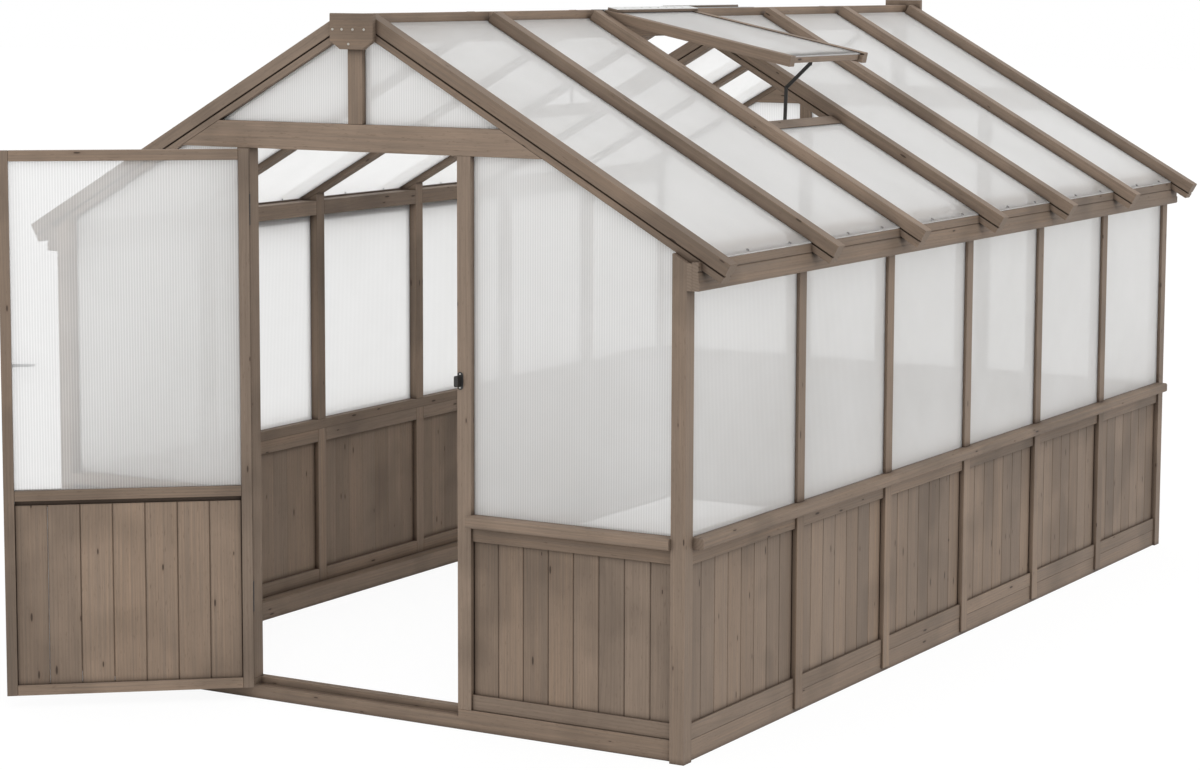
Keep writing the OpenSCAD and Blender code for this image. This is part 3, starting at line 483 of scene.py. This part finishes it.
def wood_material(settings):
    """Stained softwood: grain along each piece, rings, knots, end grain, a tone for each piece."""
    material, t = shader_tree(WOOD_MATERIAL)
    grain = t.add("ShaderNodeAttribute", attribute_name="grain").outputs["Vector"]
    piece = t.add("ShaderNodeAttribute", attribute_name="piece").outputs["Fac"]
    cut = t.add("ShaderNodeAttribute", attribute_name="cut").outputs["Fac"]
    # each piece shows another part of the same endless wood
    far = t.add("ShaderNodeCombineXYZ", {
        key: t.math("MULTIPLY", piece, step) for key, step in zip("XYZ", PIECE_STEP)})
    place = t.vector("ADD", grain, far.outputs[0])

    def along(mark):
        """Coordinates in which one unit is a mark's length along the grain, its width across."""
        length, width = mark
        return t.vector("MULTIPLY", place, (1 / length, 1 / width, 1 / width))

    ring = wood_rings(t, grain, piece, along)
    late = t.spread(ring, *LATE_BAND)
    streak = t.noise(along(STREAK), detail=4.0, rough=0.6)
    fibre = t.noise(along(FIBRE), detail=2.0)
    pores = t.spread(t.noise(along(PORE), detail=2.0), *PORE_BAND)
    blotch = t.noise(along(BLOTCH), detail=2.0)
    knot, halo = wood_knots(t, place)

    stain, dark = settings.stain, settings.dark
    warm = tuple(c * f for c, f in zip(stain, WARMTH))
    streak_colour = rgba(stain, 0.80)
    late_colour = rgba(stain, 0.62)
    pore_colour = rgba(dark, 1.2)
    halo_colour = rgba(dark, 1.6)
    knot_colour = rgba(dark, 0.5)
    # colour of the painted shade in grooves and under edges
    painted_shade_colour = rgba(dark, 0.7)
    base = t.mix(piece, rgba(stain), rgba(warm))
    base = t.mix(t.spread(streak, *MOST), streak_colour, base)
    base = t.mix(t.math("MULTIPLY", late, LATE_RINGS), base, late_colour)
    shaded = t.scaled(base, wood_level(t, settings.contrast, piece, blotch, fibre))
    shaded = t.mix(t.math("MULTIPLY", pores, PORES), shaded, pore_colour)
    shaded = t.mix(t.math("MULTIPLY", halo, HALOES), shaded, halo_colour)
    shaded = t.mix(t.math("MULTIPLY", knot, KNOTS), shaded, knot_colour)
    # end grain is darker and shows the rings more
    ends = t.mix(t.spread(ring, *END_RING_BAND), rgba(stain, 0.9), rgba(stain, 0.74))
    shaded = t.mix(t.math("MULTIPLY", cut, CUT_ENDS), shaded, ends)
    # painted shade: the stain turns darker in grooves, under edges and between parts, where the
    # ambient occlusion finds them
    corner = t.add("ShaderNodeAmbientOcclusion", {"Distance": 20 * MM}, samples=6)
    shaded = t.mix(t.spread(corner.outputs["AO"], *PAINTED_SHADE_BAND), painted_shade_colour, shaded)

    rough = t.spread(t.math("ADD", streak, fibre), 0.7, 1.3, 0.56, 0.7)
    raised = t.math("ADD", t.math("MULTIPLY", fibre, 0.5), t.math("MULTIPLY", streak, 0.5))
    sunk = t.math("ADD", t.math("MULTIPLY", pores, 0.9), knot)
    bump = t.add("ShaderNodeBump", {"Height": t.math("SUBTRACT", raised, sunk),
                                    "Strength": 0.35, "Distance": 0.6 * MM})
    wood = t.add("ShaderNodeBsdfPrincipled", {
        "Base Color": shaded, "Roughness": rough, "Normal": bump.outputs[0],
        "Specular IOR Level": 0.3})
    t.add("ShaderNodeOutputMaterial", {"Surface": wood.outputs[0]})
    return material


def sheet_material(settings, name, across):
    """Milky twin-wall sheet whose webs stand at even steps along the direction across."""
    material, t = shader_tree(name)
    place = t.add("ShaderNodeTexCoord").outputs["Object"]
    step = t.math("DIVIDE", t.vector("DOT_PRODUCT", place, across), settings.rib_pitch)
    wave = t.math("ABSOLUTE", t.math("SUBTRACT", t.math("FRACT", step), 0.5))
    web = t.spread(wave, *WEB_BAND)
    haze = t.noise(place, scale=SHEET_HAZE)
    colour = t.mix(t.math("MULTIPLY", web, 0.6), rgba(settings.tint), rgba(settings.tint, 0.94))
    colour = t.mix(t.spread(haze, *MIDDLE, 0.0, 0.5), colour, rgba(settings.tint, 1.05))
    # looked at squarely the sheet is clearest; from the side its webs close the view
    lean = t.add("ShaderNodeLayerWeight", {"Blend": 0.5}).outputs["Facing"]
    cover = t.spread(lean, SQUARE_VIEW, SLANT_VIEW, settings.cover, settings.slant_cover)
    cover = t.math("ADD", cover, t.spread(haze, *MOST, -HAZE_COVER, HAZE_COVER))
    cover = t.math("ADD", cover, t.math("MULTIPLY", web, WEB_COVER))
    rough = t.spread(haze, *MOST, 0.3, 0.38)
    bump = t.add("ShaderNodeBump", {"Height": web, "Strength": 0.12, "Distance": 0.4 * MM})
    skin = t.add("ShaderNodeBsdfPrincipled", {
        "Base Color": colour, "Roughness": rough, "Normal": bump.outputs[0],
        "Specular IOR Level": 0.25})
    glow = t.add("ShaderNodeBsdfTranslucent", {"Color": colour})
    body = t.add("ShaderNodeMixShader", {0: GLOW, 1: skin.outputs[0], 2: glow.outputs[0]})
    clear = t.add("ShaderNodeBsdfTransparent", {"Color": WHITE})
    both = t.add("ShaderNodeMixShader", {0: cover, 1: clear.outputs[0], 2: body.outputs[0]})
    t.add("ShaderNodeOutputMaterial", {"Surface": both.outputs[0]})
    return material


def metal_material(name, colour, rough, metallic, worn):
    """Painted or plated metal with fine scuffs."""
    material, t = shader_tree(name)
    place = t.add("ShaderNodeTexCoord").outputs["Object"]
    cloud = t.noise(place, scale=METAL_CLOUDS, detail=4.0)
    scuff = t.spread(t.noise(place, scale=METAL_SCUFFS), *SCUFF_BAND)
    tone = t.mix(t.spread(cloud, *MOST), rgba(colour, 0.86), rgba(colour, 1.12))
    tone = t.mix(t.math("MULTIPLY", scuff, worn), tone, rgba(colour, 1.6))
    shine = t.spread(cloud, *MOST, rough - 0.06, rough + 0.08)
    bump = t.add("ShaderNodeBump", {"Height": scuff, "Strength": 0.15, "Distance": 0.2 * MM})
    metal = t.add("ShaderNodeBsdfPrincipled", {
        "Base Color": tone, "Roughness": shine, "Normal": bump.outputs[0],
        "Metallic": metallic})
    t.add("ShaderNodeOutputMaterial", {"Surface": metal.outputs[0]})
    return material


def keep_node(name, material):
    """The CAD node stays as it is and takes this material."""
    obj = node_object(name)
    if not obj.material_slots:
        obj.data.materials.append(None)
    for held in obj.material_slots:
        held.link = "OBJECT"
        held.material = material


# Timber from the CAD solids


def solids(name):
    """The closed solids of a CAD node, each as a bmesh with its flat faces whole, by centre."""
    whole = bmesh.new()
    whole.from_mesh(node_object(name).data)
    bmesh.ops.remove_doubles(whole, verts=whole.verts, dist=WELD)
    bmesh.ops.dissolve_limit(whole, angle_limit=FLAT, verts=whole.verts,
                             edges=whole.edges, use_dissolve_boundaries=False)
    left = set(whole.faces)
    found = []
    while left:
        stack = [left.pop()]
        island = {stack[0]}
        while stack:
            for edge in stack.pop().edges:
                for face in edge.link_faces:
                    if face in left:
                        left.remove(face)
                        island.add(face)
                        stack.append(face)
        one = bmesh.new()
        known = {}
        for face in sorted(island, key=lambda f: f.index):
            for vert in face.verts:
                if vert not in known:
                    known[vert] = one.verts.new(vert.co)
            one.faces.new([known[v] for v in face.verts])
        found.append(one)
    whole.free()
    found.sort(key=lambda one: tuple(round(c, CENTRE_DIGITS) for c in centre_of(one)))
    return found


def centre_of(solid):
    points = [v.co for v in solid.verts]
    low = Vector(min(p[i] for p in points) for i in range(3))
    high = Vector(max(p[i] for p in points) for i in range(3))
    return (low + high) / 2


def axes_of(solid):
    """Unit vectors along the longest edge of a solid and along the longest square to it."""
    edges = sorted(((e.verts[1].co - e.verts[0].co) for e in solid.edges),
                   key=lambda d: -d.length)
    first = edges[0].normalized()
    if max(first, key=abs) < 0:
        first = -first
    second = next(d for d in edges if abs(d.normalized().dot(first)) < SQUARE).normalized()
    return first, second, first.cross(second)


def dress_timber(node, body, material, settings):
    """Gives a node's timbers eased edges and grain of their own."""
    draw = random.Random(f"{settings.seed} {node}")
    joined = bmesh.new()
    for solid in solids(node):
        axes = axes_of(solid)
        solid.normal_update()
        sharp = [e for e in solid.edges if len(e.link_faces) == 2
                 and e.calc_face_angle(0.0) > EASED]
        bmesh.ops.bevel(solid, geom=sharp, offset=settings.edge, offset_type="OFFSET",
                        segments=1, profile=0.5, affect="EDGES", clamp_overlap=True)
        solid.normal_update()
        centre = centre_of(solid)
        grain = solid.verts.layers.float_vector.new("grain")
        number = solid.verts.layers.float.new("piece")
        cut = solid.faces.layers.float.new("cut")
        seed = draw.random()
        for vert in solid.verts:
            vert[grain] = Vector((vert.co - centre).dot(axis) for axis in axes)
            vert[number] = seed
        for face in solid.faces:
            face[cut] = 1.0 if abs(face.normal.dot(axes[0])) > END_FACE else 0.0
        piece = bpy.data.meshes.new("piece")
        solid.to_mesh(piece)
        joined.from_mesh(piece)
        bpy.data.meshes.remove(piece)
        solid.free()
    mesh = bpy.data.meshes.new(f"{node}_timber")
    joined.to_mesh(mesh)
    joined.free()
    mesh.polygons.foreach_set("use_smooth", [True] * len(mesh.polygons))
    mesh.set_sharp_from_angle(angle=ROUNDED)
    mesh.materials.append(material)
    obj = add_object(f"{node}_timber", mesh)
    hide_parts(node)
    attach(obj, body)


# Repeated pieces by Geometry Nodes


def socket_id(tree, name):
    return next(item.identifier for item in tree.interface.items_tree
                if item.name == name and item.in_out == "INPUT")


def start_tree(name, inputs):
    """A new geometry tree with these named inputs and one output, and its input node."""
    tree = bpy.data.node_groups.new(name, "GeometryNodeTree")
    for key, kind in inputs.items():
        tree.interface.new_socket(key, in_out="INPUT", socket_type=kind)
    tree.interface.new_socket("Mesh", in_out="OUTPUT", socket_type="NodeSocketGeometry")
    t = Tree(tree)
    return t, t.add("NodeGroupInput")


def end_tree(t, instances, material):
    """Makes the instances real, gives them their material and hands them out."""
    real = t.add("GeometryNodeRealizeInstances", {"Geometry": instances})
    dressed = t.add("GeometryNodeSetMaterial", {"Geometry": real.outputs[0],
                                                "Material": material})
    t.add("NodeGroupOutput", {"Mesh": dressed.outputs[0]})
    return t.tree


def board_tree(material):
    """Instances one board on each point, turned and sized by the points, with its own number."""
    t, given = start_tree("board_rows", {
        "Points": "NodeSocketGeometry", "Board": "NodeSocketObject", "Seed": "NodeSocketInt"})
    info = t.add("GeometryNodeObjectInfo", {"Object": given.outputs["Board"]})
    euler = t.add("FunctionNodeEulerToRotation", {0: t.point_vector("turn")})
    placed = t.add("GeometryNodeInstanceOnPoints", {
        "Points": given.outputs["Points"], "Instance": info.outputs["Geometry"],
        "Rotation": euler.outputs[0], "Scale": t.point_vector("size")})
    number = t.add("FunctionNodeRandomValue", {"Seed": given.outputs["Seed"]},
                   data_type="FLOAT")
    stored = t.add("GeometryNodeStoreNamedAttribute", {
        "Geometry": placed.outputs[0], "Name": "piece"}, data_type="FLOAT", domain="INSTANCE")
    t.tree.links.new(number.outputs["Value"], stored.inputs["Value"])
    return end_tree(t, stored.outputs[0], material)


def points_object(name, places, vectors):
    """A mesh of loose points with vector attributes, for a node tree to work on."""
    mesh = bpy.data.meshes.new(name)
    mesh.from_pydata(places, [], [])
    for key, values in vectors.items():
        layer = mesh.attributes.new(key, "FLOAT_VECTOR", "POINT")
        layer.data.foreach_set("vector", [c for v in values for c in v])
    return add_object(name, mesh)


def run_tree(obj, tree, values, name):
    """Runs a node tree on obj and returns the result as a plain object at the origin."""
    modifier = obj.modifiers.new("nodes", "NODES")
    modifier.node_group = tree
    for key, value in values.items():
        modifier[socket_id(tree, key)] = value
    graph = bpy.context.evaluated_depsgraph_get()
    graph.update()
    mesh = bpy.data.meshes.new_from_object(obj.evaluated_get(graph), depsgraph=graph)
    mesh.name = name
    discard(obj)
    return add_object(name, mesh)


def board_mesh(width, depth, height, chamfer):
    """A board standing on its end, its face towards -Y, with a V edge each side of the face."""
    half, back, front = width / 2, depth / 2, -depth / 2
    outline = [(half, back), (-half, back), (-half, front + chamfer), (-half + chamfer, front),
               (half - chamfer, front), (half, front + chamfer)]
    solid = bmesh.new()
    low, high = ([solid.verts.new((x, y, z)) for x, y in outline]
                 for z in (-height / 2, height / 2))
    solid.faces.new(list(reversed(low)))
    solid.faces.new(high)
    for i in range(len(outline)):
        j = (i + 1) % len(outline)
        solid.faces.new((low[i], low[j], high[j], high[i]))
    bmesh.ops.recalc_face_normals(solid, faces=solid.faces)
    grain = solid.verts.layers.float_vector.new("grain")
    cut = solid.faces.layers.float.new("cut")
    for vert in solid.verts:
        vert[grain] = Vector((vert.co.z, vert.co.x, vert.co.y))
    solid.normal_update()
    for face in solid.faces:
        face[cut] = 1.0 if abs(face.normal.z) > END_FACE else 0.0
    mesh = bpy.data.meshes.new("board")
    solid.to_mesh(mesh)
    solid.free()
    return mesh


def extent(points, way):
    """How far points reach along a direction."""
    reach = [p.dot(way) for p in points]
    return max(reach) - min(reach)


def board_shape(solid):
    """A board's middle, its turn round Z, its width, depth and height, and its chamfer."""
    centre = centre_of(solid)
    corners = [v.co - centre for v in solid.verts]
    flat = [Vector((p.x, p.y)) for p in corners]
    height = 2 * max(p.z for p in corners)
    edges = [e.verts[1].co - e.verts[0].co for e in solid.edges]
    level = sorted((d for d in edges if abs(d.z) < LEVEL), key=lambda d: -d.length)
    side = level[0].to_2d().normalized()
    normal = Vector((side.y, -side.x))
    # the chamfered face looks where the face is narrower
    spans = []
    for way in (normal, -normal):
        top = max(p.dot(way) for p in flat)
        spans.append(extent([p for p in flat if top - p.dot(way) < LEVEL], side))
    facing = normal if spans[0] < spans[1] else -normal
    size = (extent(flat, side), extent(flat, normal), height)
    return centre, math.atan2(facing.x, -facing.y), size, (size[0] - min(spans)) / 2


def board_rows(node, body, tree, seed):
    """Stands the boards of a node, each in the place of its CAD solid."""
    shapes = []
    for solid in solids(node):
        shapes.append(board_shape(solid))
        solid.free()
    _, _, nominal, chamfer = shapes[0]
    places = [tuple(centre) for centre, _, _, _ in shapes]
    turns = [(0.0, 0.0, turn) for _, turn, _, _ in shapes]
    sizes = [tuple(a / b for a, b in zip(size, nominal)) for _, _, size, _ in shapes]
    board = add_object("board_source", board_mesh(*nominal, chamfer))
    points = points_object("board_points", places, {"turn": turns, "size": sizes})
    obj = run_tree(points, tree, {"Board": board, "Seed": seed}, f"{node}_row")
    discard(board)
    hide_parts(node)
    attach(obj, body)


def screw_tree(material):
    """A head with sloping sides and a cross recess on every point, turned the point's way."""
    t, given = start_tree("screw_heads", {
        "Points": "NodeSocketGeometry", "Radius": "NodeSocketFloat",
        "Height": "NodeSocketFloat", "Seed": "NodeSocketInt"})
    radius, height = given.outputs["Radius"], given.outputs["Height"]
    rim = t.add("GeometryNodeMeshCone", {
        "Radius Bottom": radius, "Radius Top": t.math("MULTIPLY", radius, HEAD_TOP),
        "Depth": height, "Vertices": HEAD_SIDES})
    arm = t.math("MULTIPLY", radius, RECESS_LENGTH)
    thin = t.math("MULTIPLY", radius, RECESS_WIDTH)
    cutters = []
    for x, y in ((arm, thin), (thin, arm)):
        bar = t.add("GeometryNodeMeshCube", {"Size": t.add("ShaderNodeCombineXYZ", {
            "X": x, "Y": y, "Z": t.math("MULTIPLY", height, RECESS_RISE)}).outputs[0]})
        lifted = t.add("GeometryNodeTransform", {
            "Geometry": bar.outputs[0],
            "Translation": t.add("ShaderNodeCombineXYZ", {"Z": height}).outputs[0]})
        cutters.append(lifted.outputs[0])
    head = t.add("GeometryNodeMeshBoolean", operation="DIFFERENCE")
    t.tree.links.new(rim.outputs[0], head.inputs["Mesh 1"])
    for cutter in cutters:
        t.tree.links.new(cutter, head.inputs["Mesh 2"])
    spin = t.add("FunctionNodeRandomValue", {"Seed": given.outputs["Seed"]}, data_type="FLOAT")
    spun = t.add("FunctionNodeEulerToRotation", {0: t.add("ShaderNodeCombineXYZ", {
        "Z": t.math("MULTIPLY", spin.outputs["Value"], HEAD_TURN)}).outputs[0]})
    aimed = t.add("FunctionNodeAlignRotationToVector", {
        "Rotation": spun.outputs[0], "Vector": t.point_vector("facing")}, axis="Z")
    placed = t.add("GeometryNodeInstanceOnPoints", {
        "Points": given.outputs["Points"], "Instance": head.outputs[0],
        "Rotation": aimed.outputs[0]})
    return end_tree(t, placed.outputs[0], material)


# Operators


class GREENHOUSE_OT_timbers(bpy.types.Operator):
    """Dresses the posts, studs, rails, caps, eaves, rafters and frames"""

    bl_idname = "greenhouse.timbers"
    bl_label = "Timbers"

    def execute(self, context):
        settings = context.scene.greenhouse_timber
        wood = wood_material(settings)
        for body, nodes in TIMBERS.items():
            for node in nodes:
                dress_timber(node, body, wood, settings)
        return {"FINISHED"}


class GREENHOUSE_OT_boards(bpy.types.Operator):
    """Stands the boards in the walls and the door"""

    bl_idname = "greenhouse.boards"
    bl_label = "Boards"

    def execute(self, context):
        settings = context.scene.greenhouse_timber
        tree = board_tree(bpy.data.materials[WOOD_MATERIAL])
        for body, nodes in BOARDS.items():
            for number, node in enumerate(nodes):
                board_rows(node, body, tree, settings.seed + BOARD_SEED_STEP * number)
        return {"FINISHED"}


class GREENHOUSE_OT_sheets(bpy.types.Operator):
    """Gives the panes and roof sheets their milky ribbed look"""

    bl_idname = "greenhouse.sheets"
    bl_label = "Sheets"

    def execute(self, context):
        settings = context.scene.greenhouse_sheet
        along_house = (0.0, 1.0, 0.0)
        across_house = (1.0, 0.0, 0.0)
        # the lever's axis stands square to the open door
        axis = joint_of("lever_turn")["axis"]
        across_door = (axis[1], -axis[0], 0.0)
        kinds = (
            ("sheet_along_house", along_house, (
                "wall_panes_left", "wall_panes_right", "roof_sheets_left", "roof_sheets_right",
                "vent_sheet_left", "vent_sheet_right")),
            ("sheet_across_house", across_house, ("front_panes", "back_panes")),
            ("sheet_in_door", across_door, ("door_pane",)),
        )
        for name, across, nodes in kinds:
            material = sheet_material(settings, name, across)
            for node in nodes:
                keep_node(node, material)
        return {"FINISHED"}


class GREENHOUSE_OT_fittings(bpy.types.Operator):
    """Paints the hinges, the lever, the keeper, the hinge strips and the stays"""

    bl_idname = "greenhouse.fittings"
    bl_label = "Fittings"

    def execute(self, context):
        settings = context.scene.greenhouse_fitting
        black = metal_material("black_paint", settings.black, rough=0.42, metallic=0.0, worn=0.35)
        grey = metal_material("grey_paint", settings.grey, rough=0.38, metallic=0.6, worn=0.2)
        strip = metal_material("bright_strip", settings.strip, rough=0.36, metallic=0.7, worn=0.2)
        kinds = (
            (black, "black_metal", (
                "stay_base_brackets", "stay_lower_link_left", "stay_lower_link_right",
                "stay_upper_link_left", "stay_upper_link_right", "latch_keeper",
                "hinge_leaves_jamb", "hinge_leaves_door")),
            (grey, "grey_metal", (
                "vent_bracket_left", "vent_bracket_right", "door_lever", "vent_hinges")),
            (strip, "perforated_strip", ("vent_strip_left", "vent_strip_right")),
            (grey, "bright_screw", ("sheet_screws",)),
        )
        for material, slot, nodes in kinds:
            for node in nodes:
                keep_node(node, material)
        return {"FINISHED"}


class GREENHOUSE_OT_screws(bpy.types.Operator):
    """Puts cross-headed screws in the ridge plates, the roof sheets and the keeper"""

    bl_idname = "greenhouse.screws"
    bl_label = "Screws"

    def execute(self, context):
        settings = context.scene.greenhouse_fixing
        colours = context.scene.greenhouse_fitting
        bright = screw_tree(metal_material("screw_zinc", colours.zinc, rough=0.3, metallic=0.85,
                                           worn=0.3))
        dull = screw_tree(metal_material("screw_dull", colours.dull, rough=0.4, metallic=0.7,
                                         worn=0.3))
        heads = self.heads("plate_screw_heads", bright, self.plate_screws(settings.head_height),
                           settings.head_radius, settings.head_height)
        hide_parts("plate_screws")
        self.heads("sheet_screw_heads", dull, self.sheet_screws(),
                   settings.head_radius + SHEET_HEAD_EXTRA, settings.sheet_head_height)
        self.heads("keeper_screw_heads", bright, self.keeper_screws(), settings.small_head,
                   settings.small_head_height)
        return {"FINISHED"}

    def heads(self, name, tree, placed, radius, height):
        """Puts a head on each place, facing its way, and returns them as one piece."""
        points = points_object("screw_points", [tuple(place) for place, _ in placed],
                               {"facing": [tuple(way) for _, way in placed]})
        made = run_tree(points, tree, {"Radius": radius, "Height": height, "Seed": HEAD_SEED},
                        name)
        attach(made, HOUSE)
        return made

    def plate_screws(self, height):
        """The foot of each head, centred on its CAD screw, and the way out of the house."""
        places = []
        for solid in solids("plate_screws"):
            places.append(centre_of(solid))
            solid.free()
        middle = sum(place.y for place in places) / len(places)
        ways = [Vector((0, -1 if place.y < middle else 1, 0)) for place in places]
        return [(place - way * height / 2, way) for place, way in zip(places, ways)]

    def sheet_screws(self):
        """The middle of each sheet screw's top, and the way that it faces."""
        rim_depth = 0.05 * MM
        slope = roof_slope()
        found = []
        for solid in solids("sheet_screws"):
            side = 1 if centre_of(solid).x > 0 else -1
            way = Vector((side * math.sin(slope), 0, math.cos(slope)))
            top = max(v.co.dot(way) for v in solid.verts)
            rim = [v.co for v in solid.verts if top - v.co.dot(way) < rim_depth]
            found.append((sum(rim, Vector()) / len(rim), way))
            solid.free()
        return found

    def keeper_screws(self):
        """One above and one below the catch, on the plate's front face."""
        from_edge, plate, from_end = 11.5 * MM, 3 * MM, 6 * MM
        low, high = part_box("latch_keeper")
        across = high.x - from_edge
        face = high.y - plate
        middle = (low.z + high.z) / 2
        reach = (high.z - low.z) / 2 - from_end
        return [(Vector((across, face, middle + s * reach)), Vector((0, -1, 0)))
                for s in (-1, 1)]


class GREENHOUSE_OT_stage(bpy.types.Operator):
    """Lays the floor and sets the camera and the lights"""

    bl_idname = "greenhouse.stage"
    bl_label = "Stage"

    def execute(self, context):
        scene, settings = context.scene, context.scene.greenhouse_stage
        self.floor()
        self.world(scene, settings.sky)
        self.camera(scene, settings)
        self.sun(settings.key)
        scene.view_settings.view_transform = "Standard"
        return {"FINISHED"}

    def floor(self):
        half_side = 60.0
        below_sills = 0.2 * MM
        grey = (0.82, 0.82, 0.82, 1)
        brightness = 1.04
        white_share = 0.88
        corners = [(-1, -1), (1, -1), (1, 1), (-1, 1)]
        mesh = bpy.data.meshes.new("floor")
        mesh.from_pydata([(x * half_side, y * half_side, 0) for x, y in corners], [],
                         [(0, 1, 2, 3)])
        floor = add_object("studio_floor", mesh)
        material, t = shader_tree("pale_floor")
        matt = t.add("ShaderNodeBsdfDiffuse", {"Color": grey})
        white = t.add("ShaderNodeEmission", {"Color": WHITE, "Strength": brightness})
        share = t.math("MULTIPLY", seen_directly(t), white_share)
        both = t.add("ShaderNodeMixShader", {0: share, 1: matt.outputs[0],
                                             2: white.outputs[0]})
        t.add("ShaderNodeOutputMaterial", {"Surface": both.outputs[0]})
        mesh.materials.append(material)
        floor.location.z = -below_sills

    def world(self, scene, sky):
        world = bpy.data.worlds.new("studio")
        world.use_nodes = True
        world.node_tree.nodes.clear()
        t = Tree(world.node_tree)
        even = t.add("ShaderNodeBackground", {"Color": WHITE, "Strength": sky})
        white = t.add("ShaderNodeBackground", {"Color": WHITE, "Strength": 1.0})
        both = t.add("ShaderNodeMixShader", {0: seen_directly(t), 1: even.outputs[0],
                                             2: white.outputs[0]})
        t.add("ShaderNodeOutputWorld", {"Surface": both.outputs[0]})
        scene.world = world

    def camera(self, scene, settings):
        data = bpy.data.cameras.new("photo_camera")
        data.sensor_width = 36.0
        data.lens = settings.lens
        data.shift_y = settings.rise
        camera = add_object("photo_camera", data)
        ahead = Vector((-math.sin(settings.yaw) * math.cos(settings.pitch),
                        math.cos(settings.yaw) * math.cos(settings.pitch),
                        -math.sin(settings.pitch)))
        right = Vector((math.cos(settings.yaw), math.sin(settings.yaw), 0))
        up = right.cross(ahead)
        tilt = Matrix.Rotation(-settings.roll, 3, ahead)
        right, up = tilt @ right, tilt @ up
        turn = Matrix((right, up, -ahead)).transposed().to_4x4()
        camera.matrix_world = Matrix.Translation(settings.eye) @ turn
        scene.camera = camera

    def sun(self, strength):
        softness, fall, lean, turn = (math.radians(angle) for angle in (28, 38, 6, 34))
        data = bpy.data.lights.new("soft_sun", "SUN")
        data.energy = strength
        data.angle = softness
        light = add_object("soft_sun", data)
        light.rotation_euler = (fall, lean, turn)


class GREENHOUSE_PT_panel(bpy.types.Panel):
    """Lists the pieces of the greenhouse and their settings."""

    bl_idname = "GREENHOUSE_PT_panel"
    bl_label = "Greenhouse"
    bl_space_type = "VIEW_3D"
    bl_region_type = "UI"
    bl_category = "Greenhouse"

    def draw(self, context):
        for operator in OPERATORS:
            self.layout.operator(operator.bl_idname)
        for name in GROUPS:
            box = self.layout.box()
            group = getattr(context.scene, name)
            for key in group.bl_rna.properties.keys():
                if key not in {"rna_type", "name"}:
                    box.prop(group, key)


OPERATORS = (
    GREENHOUSE_OT_timbers,
    GREENHOUSE_OT_boards,
    GREENHOUSE_OT_sheets,
    GREENHOUSE_OT_fittings,
    GREENHOUSE_OT_screws,
    GREENHOUSE_OT_stage,
)
GROUPS = {
    "greenhouse_timber": TimberSettings,
    "greenhouse_sheet": SheetSettings,
    "greenhouse_fixing": FixingSettings,
    "greenhouse_fitting": FittingSettings,
    "greenhouse_stage": StageSettings,
}


def register():
    for group in GROUPS.values():
        bpy.utils.register_class(group)
    for name, group in GROUPS.items():
        setattr(bpy.types.Scene, name, PointerProperty(type=group))
    for operator in OPERATORS:
        bpy.utils.register_class(operator)
    bpy.utils.register_class(GREENHOUSE_PT_panel)


def unregister():
    bpy.utils.unregister_class(GREENHOUSE_PT_panel)
    for operator in reversed(OPERATORS):
        bpy.utils.unregister_class(operator)
    for name, group in GROUPS.items():
        delattr(bpy.types.Scene, name)
        bpy.utils.unregister_class(group)


def main():
    register()
    bpy.ops.greenhouse.timbers()
    bpy.ops.greenhouse.boards()
    bpy.ops.greenhouse.sheets()
    bpy.ops.greenhouse.fittings()
    bpy.ops.greenhouse.screws()
    bpy.ops.greenhouse.stage()


if __name__ == "__main__":
    main()
